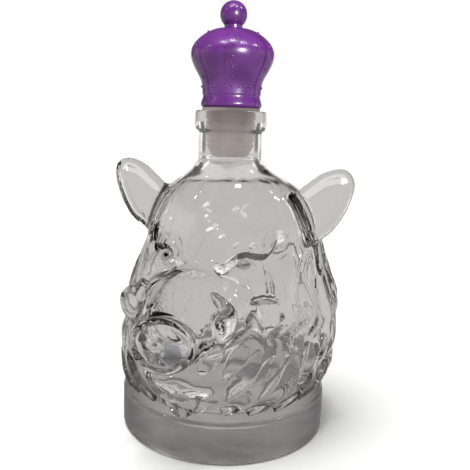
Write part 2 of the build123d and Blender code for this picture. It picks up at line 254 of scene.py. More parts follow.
# %% [markdown]
# The snout ends in a flat oval pad that leans back a little. On the glass it is a thick disc with a
# rounded rim. A bevelled cylinder would do as well, but five rings give the rim its own soft curve, and
# keep the pad's facing as one direction that the nostrils and the hollow use again.
# %% Nose pad
NOSE_CENTRE = Vector((0.0, -59.6, 53.6))
NOSE_TILT = radians(8)
NOSE_FACING = Vector((0, -cos(NOSE_TILT), sin(NOSE_TILT)))
NOSE_WIDE = 13.4
NOSE_HIGH = 10.6
NOSE_THICK = 4.8
NOSE_RINGS = (
    # distance in front of the centre, and share of the full size
    (0.0, 0.93), (1.2, 1.0), (NOSE_THICK - 1.6, 1.0), (NOSE_THICK - 0.5, 0.95), (NOSE_THICK, 0.84),
)


def pad_ring(out, wide, high):
    return aim(NOSE_CENTRE + NOSE_FACING * out, NOSE_FACING, wide, high)


def nose_block(bm):
    loft(bm, [pad_ring(out, NOSE_WIDE * size, NOSE_HIGH * size) for out, size in NOSE_RINGS])


print("snout reaches", -NOSE_CENTRE.y + NOSE_THICK, "mm in front of the axis")

# %% [markdown]
# The tusks curve up and in from the corners of the mouth. A curve object with a bevel would draw
# them, but it would have to be made a mesh again. A loft of circles along four points, each with its
# own radius, gives the same taper, and two small rings at each end round it off.
# %% Tusk blocks
HORN_STEPS = 20
HORN_ROWS_BETWEEN = 4
ROUND_END = ((0.92, 0.39), (0.60, 0.80))


def horn(bm, points, radii):
    """A curved, round-ended horn through the points."""
    rows = eased([(*p, r) for p, r in zip(points, radii)], HORN_ROWS_BETWEEN)
    centres = [Vector(row[:3]) for row in rows]
    first = (centres[1] - centres[0]).normalized()
    last = (centres[-1] - centres[-2]).normalized()
    placings = []
    for out, size in ROUND_END:
        placings.append(aim(centres[0] - first * rows[0][3] * out, first, *(2 * [rows[0][3] * size])))
    for i, centre in enumerate(centres):
        along = centres[min(i + 1, len(centres) - 1)] - centres[max(i - 1, 0)]
        placings.append(aim(centre, along, rows[i][3], rows[i][3]))
    for out, size in reversed(ROUND_END):
        placings.append(aim(centres[-1] + last * rows[-1][3] * out, last, *(2 * [rows[-1][3] * size])))
    loft(bm, placings, HORN_STEPS)


def mirrored(points):
    return [(-x, y, z) for x, y, z in points]


TUSK_POINTS = ((14.0, -43.5, 55.0), (19.4, -48.0, 60.5), (20.6, -50.5, 67.0), (15.4, -51.5, 72.6))
TUSK_RADII = (4.2, 4.0, 3.2, 1.7)


def face_blocks(bm):
    loft(bm, [face_ring(*row) for row in eased(MUZZLE_ROWS, ROWS_BETWEEN)])
    loft(bm, [face_ring(*row) for row in eased(JAW_ROWS, ROWS_BETWEEN)])
    nose_block(bm)
    for points in (TUSK_POINTS, mirrored(TUSK_POINTS)):
        horn(bm, points, TUSK_RADII)


print("tusks rise to", TUSK_POINTS[-1][2] + TUSK_RADII[-1], "mm")

# %% [markdown]
# The ears are thin leaves that stand out sideways, with a rounded rim round a dished middle. They
# could be lofted, but their outline is what shows, so each is one face drawn through a few points,
# extruded to its thickness, with both faces inset and pushed in. The two points nearest the head lie
# inside it, so the leaf grows out of the glass.
# %% Ear blocks
EAR_POINTS = (
    (31.5, 106.5), (36.2, 110.5), (41.0, 114.2), (45.2, 116.0), (49.5, 116.9), (53.0, 115.6),
    (54.9, 112.5), (55.1, 108.6), (53.5, 102.5), (51.0, 96.8), (47.2, 91.0), (43.8, 88.0), (40.0, 85.0),
)
EAR_ROOT = ((33.75, 85.0), (25.0, 103.4))
EAR_FRONT = -4.6
EAR_THICK = 5.0
EAR_RIM = 2.3
EAR_DISH = 1.1
EAR_INSETS = (
    # width of the inset, and how far its face then moves inwards
    (0.7, -0.9), (EAR_RIM - 0.7, 0.0), (1.2, EAR_DISH),
)


def ear_block(bm, side):
    edge = [tuple(row) for row in eased(EAR_POINTS, 4)] + list(EAR_ROOT)
    corners = [bm.verts.new((side * x, EAR_FRONT, z)) for x, z in edge]
    front = bm.faces.new(corners)
    swept = bmesh.ops.extrude_face_region(bm, geom=[front], use_keep_orig=True)
    back_verts = [v for v in swept["geom"] if isinstance(v, bmesh.types.BMVert)]
    bmesh.ops.translate(bm, verts=back_verts, vec=(0, EAR_THICK, 0))
    back = next(f for f in swept["geom"] if isinstance(f, bmesh.types.BMFace))
    for face, inwards in ((front, 1), (back, -1)):
        for width, depth in EAR_INSETS:
            bmesh.ops.inset_region(bm, faces=[face], thickness=width, use_even_offset=True)
            bmesh.ops.translate(bm, verts=face.verts, vec=(0, inwards * depth, 0))


packed_span = (bottle_high[0] - bottle_low[0]) / MM
print("ears span", 2 * max(x for x, _ in EAR_POINTS), "mm, packed", round(packed_span, 1), "mm")

# %% [markdown]
# The beard hangs below the jaw in heavy pointed locks that run down and in towards the chin. They
# stand too far out to be carved from the head, so they are blocked out as horns: one list of points
# and radii for each lock on the viewer's right, mirrored to the other side.
# %% Beard blocks
BEARD_LOCKS = (
    (((22, -29, 45), (19, -35.5, 34.5), (11.5, -39.3, 25.5), (6.0, -40.6, 20.3)), (5.2, 5.0, 3.6, 1.5)),
    (((31, -24, 45), (29, -30.5, 34), (22, -36, 25.5), (15.5, -38.6, 20.0)), (4.8, 4.8, 3.6, 1.4)),
    (((38, -16.5, 43), (37, -22, 32.5), (31, -30, 25), (24.8, -34.4, 19.9)), (4.6, 4.4, 3.4, 1.3)),
    (((43, -8, 41), (42.6, -13, 31), (38.5, -21, 24.6), (33.4, -27.2, 20.0)), (4.2, 4.2, 3.2, 1.2)),
    (((46, 3, 40), (45.8, -1, 31), (43.2, -9, 24.6), (39.6, -16.0, 20.4)), (3.6, 4.0, 3.0, 1.2)),
)
CHIN_POINTS = ((0, -37.0, 34.0), (0, -41.0, 26.0), (0, -41.6, 18.6))
CHIN_RADII = (6.0, 5.6, 2.6)


def beard_blocks(bm):
    for points, radii in BEARD_LOCKS:
        horn(bm, points, radii)
        horn(bm, mirrored(points), radii)
    horn(bm, CHIN_POINTS, CHIN_RADII)


print(2 * len(BEARD_LOCKS) + 1, "locks in the beard")

# %% [markdown]
# A voxel remesh melts the blocks into one skin, as wetting and smoothing does with clay. Booleans
# would join them too, but with a sharp line at every joint. The voxels are small enough to carry the
# hair, and a few rounds of smoothing then blend the joints.
# %% Melt the blocks into one skin
HEAD_VOXEL = 1.2
HEAD_ROUNDS = 6
SMOOTHING = 0.5


def melted(name, bm, voxel, rounds):
    """One skin round all forms in the bmesh, smoothed by some rounds."""
    cut_large_faces(bm)
    piece = mesh_piece(name, bm)
    remesh = piece.modifiers.new("melt", "REMESH")
    remesh.mode = "VOXEL"
    remesh.voxel_size = voxel
    smooth = piece.modifiers.new("blend", "SMOOTH")
    smooth.factor = SMOOTHING
    smooth.iterations = rounds
    return with_modifiers(piece)


def head_clay():
    bm = bmesh.new()
    head_block(bm)
    face_blocks(bm)
    beard_blocks(bm)
    for side in (-1, 1):
        ear_block(bm, side)
    return melted("head_clay", bm, HEAD_VOXEL, HEAD_ROUNDS)


head = head_clay()
print("head clay:", len(head.data.vertices), "points,", len(head.data.polygons), "faces")

# %% [markdown]
# The face needs a finer skin than the hair, because its brows, lids and wrinkles are narrow. Smaller
# voxels everywhere would make the glass too heavy, so only the faces in a box round the face are split
# in four, and those in a box round each brow once more. Their points are then smoothed a little.
# %% Refine the face
FINE_ROUNDS = 2
FINE_BOXES = (
    ((-33.0, -70.0, 46.0), (33.0, -15.0, 107.0)),
    ((5.5, -34.0, 73.5), (29.5, -13.0, 93.0)),
    ((-29.5, -34.0, 73.5), (-5.5, -13.0, 93.0)),
)


def refined(head, box):
    bm = bmesh.new()
    bm.from_mesh(head.data)
    low, high = (Vector(corner) for corner in box)
    inside = {v for v in bm.verts if all(low[i] < v.co[i] < high[i] for i in range(3))}
    edges = [e for e in bm.edges if e.verts[0] in inside and e.verts[1] in inside]
    bmesh.ops.subdivide_edges(bm, edges=edges, cuts=1, use_grid_fill=True)
    fine = [v for v in bm.verts if all(low[i] < v.co[i] < high[i] for i in range(3))]
    for _ in range(FINE_ROUNDS):
        bmesh.ops.smooth_vert(
            bm, verts=fine, factor=SMOOTHING, use_axis_x=True, use_axis_y=True, use_axis_z=True)
    cut_large_faces(bm)
    bm.to_mesh(head.data)
    bm.free()
    head.data.update()


for box in FINE_BOXES:
    refined(head, box)
print("with the fine face:", len(head.data.vertices), "points,", len(head.data.polygons), "faces")

# %% [markdown]
# Carving moves the points of the skin along their normals. It could be done by hand in sculpt mode,
# but written strokes can be measured, mirrored and repeated. A stroke is a path with a width and a
# height that change along it, and it is first laid on the skin, so that it cuts at full depth.
# %% Strokes on the skin
places = np.empty(len(head.data.vertices) * 3)
head.data.vertices.foreach_get("co", places)
places = places.reshape(-1, 3)
normals = np.empty(len(head.data.vertices) * 3)
head.data.vertices.foreach_get("normal", normals)
normals = normals.reshape(-1, 3)


def points_round(path, reach):
    """The numbers of the points in a box round the path."""
    inside = np.all((places > path.min(0) - reach) & (places < path.max(0) + reach), axis=1)
    return np.flatnonzero(inside)


def measure_stroke(stroke):
    """The points near a stroke, their distance from it in widths, and the height there."""
    rows = eased(stroke, 3)
    path, widths, heights = rows[:, :3], rows[:, 3], rows[:, 4]
    near = points_round(path, widths.max())
    best = np.full(len(near), np.inf)
    height = np.zeros(len(near))
    for i in range(len(path) - 1):
        step = path[i + 1] - path[i]
        along = np.clip((places[near] - path[i]) @ step / max(step @ step, 1e-9), 0, 1)
        gap = np.linalg.norm(places[near] - path[i] - along[:, None] * step, axis=1)
        share = gap / (widths[i] + along * (widths[i + 1] - widths[i]))
        closer = share < best
        best[closer] = share[closer]
        height[closer] = (heights[i] + along * (heights[i + 1] - heights[i]))[closer]
    return near[best < 1], best[best < 1], height[best < 1]


def laid(stroke):
    """The stroke, with its points moved straight onto the skin."""
    rows = []
    for x, y, z, width, height in stroke:
        nearest = np.argmin(np.sum((places - (x, y, z)) ** 2, axis=1))
        lift = (np.array((x, y, z)) - places[nearest]) @ normals[nearest]
        rows.append((*(np.array((x, y, z)) - lift * normals[nearest]), width, height))
    return rows


print("carving", len(places), "points")

# %% [markdown]
# There are four cuts, and three are simple. Locks rise with round backs, and where they overlap the
# higher one wins, which leaves the sharp creases of cut hair. Pressed strokes are soft and add up. A
# crease has straight walls, which clear glass shows dark. Strokes are cut once more on the far side of
# the face, a little softer, so that the two halves aren't twins.
# %% Locks, soft strokes and creases
def raise_locks(strokes):
    """How far each point rises under overlapping locks with round backs."""
    rise = np.zeros(len(places))
    for stroke in strokes:
        near, share, height = measure_stroke(stroke)
        rise[near] = np.maximum(rise[near], height * (1 - share ** 2))
    return rise


def press(strokes):
    """The sum of soft grooves and ridges, each level at its middle and at its edge."""
    moved = np.zeros(len(places))
    for stroke in strokes:
        near, share, height = measure_stroke(stroke)
        moved[near] += height * (1 - share ** 2) ** 2
    return moved


def crease(rows):
    """A groove with straight walls."""
    moved = np.zeros(len(places))
    near, share, height = measure_stroke(rows)
    moved[near] = height * (1 - share)
    return moved


FAR_SIDE = 0.7


def both_sides(strokes):
    """The strokes, and the same a little softer on the other side."""
    return list(strokes) + [[(-x, y, z, w, FAR_SIDE * h) for x, y, z, w, h in s] for s in strokes]


print("strokes on the far side have", FAR_SIDE, "of the height")

# %% [markdown]
# The fourth cut is a shelf, an overhanging step along a path. Its steep lower side faces the floor, so
# it looks dark through the glass, and that is what draws the brow in the photograph. A dark line could
# be painted instead, but it would stay dark when the bottle turns, where real glass lights up.
# %% Shelf
RISER = 2.4
SHELF_LIFT = 2.0
SHELF_DROP = 2.6
SHELF_FADE = 7.0


def shelf(rows):
    """A step along a path: a bulge above it, a steep riser and a hollow below it."""
    moved = np.zeros(len(places))
    path, shares = np.array(rows)[:, :3], np.array(rows)[:, 3]
    outwards = np.sign(path[-1, 0] - path[0, 0])
    near = points_round(path, SHELF_FADE + RISER)
    best = np.full(len(near), np.inf)
    signed = np.zeros(len(near))
    drop = np.zeros(len(near))
    for i in range(len(path) - 1):
        step = path[i + 1] - path[i]
        along = np.clip((places[near] - path[i]) @ step / (step @ step), 0, 1)
        away = places[near] - path[i] - along[:, None] * step
        gap = np.linalg.norm(away, axis=1)
        above = np.sign(outwards * (away[:, 2] * step[0] - away[:, 0] * step[2]))
        closer = gap < best
        best[closer] = gap[closer]
        signed[closer] = (gap * above)[closer]
        drop[closer] = (shares[i] + along * (shares[i + 1] - shares[i]))[closer]
    half = RISER / 2
    outside = np.clip((np.abs(signed) - half) / SHELF_FADE, 0, 1)
    level = np.where(signed > 0, SHELF_LIFT, -SHELF_DROP)
    on_riser = np.clip((signed + half) / RISER, 0, 1) * (SHELF_LIFT + SHELF_DROP) - SHELF_DROP
    moved[near] = np.where(np.abs(signed) < half, on_riser, level * (1 - outside) ** 2) * drop
    return moved


print("a shelf steps by", SHELF_LIFT + SHELF_DROP, "mm over", RISER, "mm")

# %% [markdown]
# The face is mostly smooth, so its few deep lines carry the whole expression: a heavy brow that dips
# towards the snout and hooks up at its outer end, and under it a round eyeball with a short slit. A
# curve object laid on the face would stand off the glass, so the lines are cut. Each row is x, y, z,
# half width and height in millimetres.
# %% Brow and eye strokes
BROW = (
    # x, y, z, share of the full step
    (6.4, -31.0, 74.2, 0.0), (7.6, -30.0, 75.2, 0.9), (11.5, -28.2, 78.0, 1.0),
    (14.7, -26.0, 81.3, 1.0), (17.8, -24.6, 82.4, 1.0), (21.0, -23.1, 81.8, 1.0),
    (24.6, -21.4, 81.7, 1.0), (26.8, -19.4, 83.4, 1.0), (27.9, -17.6, 86.1, 0.9),
    (28.2, -16.6, 89.0, 0.5), (27.8, -16.2, 92.0, 0.0),
)
EYE_BALL = ((12.5, -29.0, 75.6, 3.6, 0.7), (16.0, -27.6, 76.6, 4.6, 1.7), (19.8, -26.0, 77.2, 3.8, 0.8))
EYE_SLIT = (
    (15.6, -26.6, 78.6, 0.9, -0.8), (17.2, -25.6, 79.2, 1.4, -2.2), (18.8, -25.2, 79.6, 0.9, -0.8))
LOWER_LID = (
    (8.6, -31.2, 73.2, 0.8, -0.5), (12.0, -30.8, 71.8, 1.1, -1.7), (15.5, -30.0, 70.5, 1.1, -1.6),
    (18.6, -29.0, 69.9, 0.8, -0.4),
)
print("the brow runs", round(BROW[-1][0] - BROW[0][0], 1), "mm outwards")

# %% [markdown]
# Three folds mark the cheek, the jowl and the corner of the lip, and a low ridge runs along each side
# of the snout down to a wrinkle behind the nose. Moulded glass rounds such forms, so they are pressed
# with a soft edge and not creased.
# %% Folds and wrinkles
CHEEK_FOLD = (
    (20.6, -31.0, 64.0, 1.2, -0.8), (23.0, -29.2, 65.2, 1.9, -2.6), (27.0, -26.6, 65.6, 2.0, -3.0),
    (30.2, -24.2, 65.2, 1.8, -2.4), (32.0, -22.6, 64.6, 1.2, -0.7),
)
JOWL_FOLD = (
    (16.6, -33.6, 59.0, 1.1, -0.8), (19.6, -31.6, 60.6, 1.4, -2.0), (23.2, -29.6, 60.4, 1.6, -2.4),
    (25.8, -28.6, 58.0, 1.5, -2.2), (27.2, -28.2, 54.6, 1.2, -1.0),
)
LIP_FOLD = (
    (15.0, -36.0, 52.2, 1.4, -1.0), (17.6, -34.6, 53.4, 1.7, -2.2), (21.0, -32.2, 53.9, 1.8, -2.5),
    (24.4, -30.0, 53.2, 1.5, -1.8), (26.4, -29.0, 51.4, 1.1, -0.7),
)
MUZZLE_RIDGE = (
    (9.0, -36.0, 75.0, 4.0, 0.15), (10.5, -42.0, 70.5, 4.2, 0.4), (10.5, -48.0, 66.5, 3.6, 0.35),
    (9.5, -54.0, 63.5, 3.0, 0.2),
)
WRINKLE_REACH = 56.6
WRINKLE_WIDE = 1.7
WRINKLE_DEEP = 0.35
WRINKLE_BULGE = 1.2
WRINKLE_TURNS = (-68, -45, -22, 0, 22, 45, 68)


def snout_wrinkle():
    """A wrinkle over the bridge of the snout that fades out down its sides."""
    row = next(r for r in eased(MUZZLE_ROWS, 12) if r[0] >= WRINKLE_REACH)
    rows = []
    for turn in WRINKLE_TURNS:
        across = row[1] * sin(radians(turn))
        up = row[3] + row[2] * cos(radians(turn))
        fade = cos(radians(turn * 1.2)) ** 0.5
        forward = WRINKLE_REACH + WRINKLE_BULGE * cos(radians(turn))
        rows.append((across, -forward, up, WRINKLE_WIDE, -WRINKLE_DEEP * fade))
    return rows


print("folds:", len(CHEEK_FOLD) + len(JOWL_FOLD) + len(LIP_FOLD), "points on each side")

# %% [markdown]
# The forehead has a fine zigzag and a few small dents, which catch the light as white sparks. They
# look like marks that the mould left. A bump map would only shade them, while dents in the mesh also
# bend what is seen through them, as real glass does.
# %% Marks on the forehead
ZIGZAG = (
    (-2.1, -20.3, 105.4, 0.6, -0.2), (0.9, -21.8, 102.4, 0.9, -0.8), (-1.6, -23.1, 99.5, 0.9, -0.8),
    (1.3, -23.6, 97.8, 0.9, -0.8), (-0.1, -24.2, 95.3, 0.9, -0.8), (3.3, -24.7, 92.8, 0.6, -0.2),
)
DENTS = (
    # x, y, z and radius
    (2.3, -25.4, 90.3, 1.6), (4.2, -24.9, 91.6, 1.2), (7.6, -25.5, 88.0, 1.3), (11.7, -21.4, 99.1, 1.2),
    (15.3, -19.5, 100.4, 1.2), (13.5, -24.9, 85.2, 1.1), (19.5, -22.6, 85.4, 1.1),
    (29.8, -15.3, 86.3, 1.3),
)
DENT_DEEP = 0.85
DENT_LONG = 1.0


def dent(x, y, z, radius):
    half = DENT_LONG / 2
    return [(x - half, y, z, radius, -DENT_DEEP), (x + half, y, z + DENT_LONG, radius, -DENT_DEEP)]


print(len(DENTS), "dents", DENT_DEEP, "mm deep")

# %% [markdown]
# The strokes are laid on the skin and added up to one relief: how far each point of the face will
# move. The points themselves stay where they are until the hair is ready, because every stroke is
# measured on the uncarved skin.
# %% Carve the face
BROW_ROWS_BETWEEN = 4

face_strokes = both_sides((EYE_BALL, CHEEK_FOLD, JOWL_FOLD, LIP_FOLD, MUZZLE_RIDGE))
face_strokes += [snout_wrinkle()] + [dent(*row) for row in DENTS]
face_strokes = [laid(stroke) for stroke in face_strokes]
face_relief = press(face_strokes)
for side, share in ((1, 1.0), (-1, FAR_SIDE)):
    brow = [(side * x, y, z, share * step, 0) for x, y, z, step in BROW]
    face_relief += shelf(eased(laid(brow), BROW_ROWS_BETWEEN))
for line in both_sides((EYE_SLIT, LOWER_LID)) + [ZIGZAG]:
    face_relief += crease(laid(line))
print(len(face_strokes), "strokes on the face, deepest", round(float(face_relief.min()), 2), "mm")

# %% [markdown]
# The nostrils are oval dents in the flat pad, wide apart, with a soft rim. A Boolean with two small
# balls would cut them with a hard rim. So they are pressed like the strokes, as a depth that fades
# from the middle of an oval to nothing at its edge, and only on points that face the front.
# %% Press the nostrils
NOSTRIL_SPACING = 11.6
NOSTRIL_DROP = 2.2
NOSTRIL_WIDE = 4.8
NOSTRIL_HIGH = 3.6
NOSTRIL_DEEP = 1.9
PAD_FRONT = 2.0


def nostril_relief():
    up = Vector((0, sin(NOSE_TILT), cos(NOSE_TILT)))
    from_nose = places - np.array(NOSE_CENTRE)
    out = from_nose @ np.array(NOSE_FACING)
    height = from_nose @ np.array(up) + NOSTRIL_DROP
    front = (out > NOSE_THICK - PAD_FRONT) & (normals @ np.array(NOSE_FACING) > 0.5)
    moved = np.zeros(len(places))
    for side in (-1, 1):
        across = places[:, 0] - side * NOSTRIL_SPACING / 2
        share = np.sqrt((across / NOSTRIL_WIDE) ** 2 + (height / NOSTRIL_HIGH) ** 2)
        inside = front & (share < 1)
        moved[inside] -= NOSTRIL_DEEP * (1 - share[inside] ** 2) ** 1.5
    return moved


nostrils = nostril_relief()
print("nostrils", round(float(-nostrils.min()), 2), "mm deep")

# %% [markdown]
# Hair covers the head behind the cheeks. Particle hair would be far too fine, because cast glass only
# holds thick soft locks. They are laid in rows of long tapering strokes, each an S-bend down the head
# that starts under the row above it. A seeded random source makes no two alike, and gives the same
# hair on every run. A turn of 0 degrees is the snout and 180 the back of the head.
# %% Carve the hair
HAIR_ROWS = (
    # top height, bottom height, first turn, locks on each side, half width, rise, sideways drift
    (108.0, 84.0, 84.0, 8, 4.6, 0.9, -7.0),
    (94.0, 66.0, 77.0, 9, 4.6, 1.2, 8.0),
    (77.0, 50.0, 66.0, 11, 4.7, 1.8, -8.0),
    (60.0, 35.0, 62.0, 12, 4.8, 2.1, 8.0),
    (44.0, 22.0, 90.0, 8, 5.0, 2.2, -7.0),
)
CURL_ROWS = (
    (63.0, 49.0, 50.0, 3, 2.5, 1.7, 8.0),
    (54.0, 40.0, 46.0, 4, 2.6, 2.0, -9.0),
    (45.0, 31.0, 43.0, 4, 2.8, 2.1, 8.0),
)
CURL_LAST_TURN = 66.0
LOCK_SHAPE = (
    # share of the length, of the width and of the rise
    (0, 0.5, 0.15), (0.3, 0.9, 0.6), (0.6, 1.0, 1.0), (0.85, 0.6, 0.9), (1, 0.2, 0.2),
)
LOCK_LIFT = 2.5
LOCK_SIZES = (0.85, 1.15)
chance = np.random.default_rng(26)
SMOOTH_ROWS = eased(HEAD_ROWS, 6)


def on_head(turn, height):
    """A point of the head's rough form, by its turn in degrees and its height."""
    wide, deep, back = (np.interp(height, SMOOTH_ROWS[:, 0], SMOOTH_ROWS[:, i]) for i in (1, 2, 3))
    return wide * sin(radians(turn)), back - deep * cos(radians(turn)), height


def hair_lock(turn, top, bottom, half_width, rise, drift):
    rows = []
    for share, wide, high in LOCK_SHAPE:
        bend = drift * (sin(pi * share) - 0.6 * share)
        height = top + share * (bottom - top)
        rows.append((*on_head(turn + bend, height), half_width * wide, rise * high))
    return rows


def hair_rows(table, last_turn=180.0):
    locks = []
    for top, bottom, first, count, half_width, rise, drift in table:
        for side in (-1, 1):
            for i in range(count):
                turn = first + (last_turn - first) * (i + 0.5 * chance.random()) / count
                lift = chance.uniform(-LOCK_LIFT, LOCK_LIFT)
                size = chance.uniform(*LOCK_SIZES)
                locks.append(hair_lock(
                    side * turn, top + lift, bottom + lift, half_width * size, rise * size, side * drift))
    return locks


hair = hair_rows(HAIR_ROWS) + hair_rows(CURL_ROWS, CURL_LAST_TURN)
hair_relief = raise_locks(hair)
print(len(hair), "locks of hair, highest", round(float(hair_relief.max()), 2), "mm")

# %% [markdown]
# The reliefs are added up and the points are moved, all at once and along the normals of the smooth
# skin. The hair fades out at the foot and at the neck, where plain turned glass takes over, and it
# leaves out the ears. Between the locks the skin sinks a little, so the head keeps its size.
# %% Move the skin
HAIR_SINK = 0.9
FADE_LOW = (17.5, 21.0)
FADE_HIGH = (106.0, 112.0)
SINK_TURNS = (50.0, 70.0)
SINK_HEIGHTS = (80.0, 100.0)
EAR_LOW = 80.0
EAR_GAP = 3.0


def rising(values, low, high):
    """0 below the low value, 1 above the high one, and a straight slope between them."""
    return np.clip((values - low) / (high - low), 0, 1)


def carved(head):
    height = places[:, 2]
    kept = rising(height, *FADE_LOW) * (1 - rising(height, *FADE_HIGH))
    half_wide = np.interp(height, SMOOTH_ROWS[:, 0], SMOOTH_ROWS[:, 1])
    ear = (np.abs(places[:, 0]) > half_wide + EAR_GAP) & (height > EAR_LOW)
    turn = np.degrees(np.abs(np.arctan2(places[:, 0], -places[:, 1])))
    sink = HAIR_SINK * rising(turn, *SINK_TURNS) * (1 - rising(height, *SINK_HEIGHTS))
    hair_here = np.where(ear, 0.0, (hair_relief - sink) * kept)
    moved = places + normals * (face_relief + nostrils + hair_here)[:, None]
    head.data.vertices.foreach_set("co", moved.ravel())
    head.data.update()


carved(head)
print("the head is carved")

# %% [markdown]
# The foot is a plain thick disc, and the neck a tube with a heavy ring for the stopper. Two cylinders
# with bevels could make them. Instead each is turned on the axis from a list of corners, with the
# radius that rounds each corner, because that is how such parts are drawn, and their edges stay crisp
# next to the soft head.
# %% Turning
ARC_STEPS = 5
TURN_STEPS = 128


def rounded(corners):
    """A polyline of (r, z) with its corners (r, z, radius) rounded."""
    points = []
    for i, (r, z, radius) in enumerate(corners):
        here = Vector((r, z))
        if radius == 0:
            points.append((r, z))
            continue
        before = (Vector(corners[i - 1][:2]) - here).normalized()
        after = (Vector(corners[i + 1][:2]) - here).normalized()
        half = before.angle(after) / 2
        cut = radius / max(0.05, float(np.tan(half)))
        centre = here + (before + after).normalized() * radius / sin(half)
        start, end = here + before * cut - centre, here + after * cut - centre
        for k in range(ARC_STEPS + 1):
            spot = start.lerp(end, k / ARC_STEPS).normalized() * radius + centre
            points.append((spot.x, spot.y))
    return points


def turned(bm, corners):
    """A closed solid of revolution. The profile starts and ends on the axis."""
    line = [bm.verts.new((r, 0, z)) for r, z in rounded(corners)]
    edges = [bm.edges.new(pair) for pair in zip(line, line[1:])]
    bmesh.ops.spin(
        bm, geom=line + edges, cent=(0, 0, 0), axis=(0, 0, 1), angle=2 * pi, steps=TURN_STEPS,
        use_merge=True)
    bmesh.ops.remove_doubles(bm, verts=bm.verts, dist=1e-4)
    bmesh.ops.recalc_face_normals(bm, faces=bm.faces)


def turned_piece(name, corners):
    bm = bmesh.new()
    turned(bm, corners)
    return mesh_piece(name, bm)


print("turned in", TURN_STEPS, "steps")

# %% [markdown]
# The foot stands on a ring, because its underside rises in a shallow dome, as on most bottles. The
# neck is a little wider at its root, and its ring has rounded edges. The corners are (radius, height,
# rounding), and those inside the head only have to lie deep enough in it.
# %% Turn the foot and the neck
FOOT_RADIUS = 45.7
FOOT_HIGH = 17.8
DOME_RADIUS = 37.0
DOME_HIGH = 1.4
DOME_STEPS = 8
NECK_RADIUS = 13.5
BORE_RADIUS = 10.75
FINISH_RADIUS = 15.4
FINISH_HIGH = 7.5
DOME = tuple(
    (DOME_RADIUS * i / DOME_STEPS, DOME_HIGH * (1 - (i / DOME_STEPS) ** 2), 0)
    for i in range(DOME_STEPS + 1))
FOOT_CORNERS = DOME + (
    (FOOT_RADIUS, 0.0, 1.2),
    (FOOT_RADIUS, FOOT_HIGH, 1.7), (38.6, FOOT_HIGH + 0.3, 2.0), (36.6, 21.0, 0), (0.0, 21.0, 0),
)
NECK_CORNERS = (
    (0.0, 115.0, 0), (12.6, 115.0, 0), (13.6, SHOULDER + 1.0, 3.0),
    (NECK_RADIUS, LIP - FINISH_HIGH - 1.4, 0.8),
    (FINISH_RADIUS - 0.5, LIP - FINISH_HIGH - 0.3, 0.7), (FINISH_RADIUS, LIP - 5.0, 0.9),
    (FINISH_RADIUS - 0.2, LIP, 0.9), (0.0, LIP, 0),
)

foot = turned_piece("foot_clay", FOOT_CORNERS)
neck = turned_piece("neck_clay", NECK_CORNERS)
print("foot and neck:", len(foot.data.polygons), "and", len(neck.data.polygons), "faces")

# %% [markdown]
# The melt rounds every edge, but the locks of the beard have crisp ones on the real bottle, which draw
# bright lines round dark middles. So flat pointed leaves are laid over the melted beard. They are lofts
# too, of squarish rings that follow three points, and they join the glass without being melted.
# %% Beard leaves
LEAF_LOCKS = (
    # top, middle and tip of each leaf on the viewer's right, and its half width
    ((15.7, -38.4, 50.9), (10.6, -39.8, 43.2), (4.8, -40.8, 34.5), 3.4),
    ((23.3, -35.0, 48.2), (19.6, -36.8, 42.0), (14.7, -38.7, 32.6), 3.6),
    ((28.4, -31.6, 45.8), (22.2, -35.5, 36.1), (13.7, -39.0, 25.4), 4.4),
    ((35.2, -25.4, 44.7), (30.7, -29.8, 37.2), (23.9, -34.6, 24.6), 4.4),
    ((39.8, -19.3, 43.3), (36.7, -23.6, 35.8), (32.0, -28.6, 25.0), 4.0),
    ((43.3, -12.5, 45.9), (41.9, -15.5, 38.0), (39.1, -20.3, 27.0), 4.0),
    ((46.1, -1.7, 48.1), (45.3, -6.0, 41.3), (43.5, -12.0, 31.5), 3.8),
    ((10.4, -40.2, 28.6), (7.2, -40.8, 23.8), (2.2, -41.2, 19.4), 3.0),
)
CHIN_LEAF = ((0.0, -41.0, 31.0), (0.0, -43.2, 25.0), (0.2, -43.8, 17.0), 7.6)
LEAF_SHAPE = (
    # share of the length, of the width and of the thickness
    (0.0, 0.35, 0.3), (0.25, 0.85, 0.8), (0.5, 1.0, 1.0), (0.8, 0.62, 0.8), (1.0, 0.14, 0.3),
)
LEAF_THICK = 3.2
LEAF_SQUARENESS = 0.38
LEAF_STEPS = 28
LEAF_SINK = 0.4
LEAF_AXIS_BACK = 5.0


def leaf_lock(name, top, middle, tip, half_width):
    """A flat pointed lock that lies on the beard, widest at its middle."""
    path = eased([top, middle, tip], 8)
    placings = []
    for share, wide, thick in eased(LEAF_SHAPE, 4):
        at = share * (len(path) - 1)
        i = min(int(at), len(path) - 2)
        spot = Vector(path[i]).lerp(Vector(path[i + 1]), at - i)
        out = Vector((spot.x, spot.y - LEAF_AXIS_BACK, 0)).normalized()
        along = Vector(path[min(i + 2, len(path) - 1)]) - Vector(path[max(i - 1, 0)])
        placings.append(aim(spot - out * LEAF_SINK, along, wide * half_width, thick * LEAF_THICK, out))
    bm = bmesh.new()
    loft(bm, placings, LEAF_STEPS, LEAF_SQUARENESS)
    cut_large_faces(bm)
    return mesh_piece(name, bm)


locks = [leaf_lock("leaf_right_%d" % i, *row) for i, row in enumerate(LEAF_LOCKS)]
locks += [leaf_lock("leaf_left_%d" % i, *mirrored(row[:3]), row[3]) for i, row in enumerate(LEAF_LOCKS)]
locks.append(leaf_lock("leaf_chin", *CHIN_LEAF))
print(len(locks), "crisp leaves for the beard")

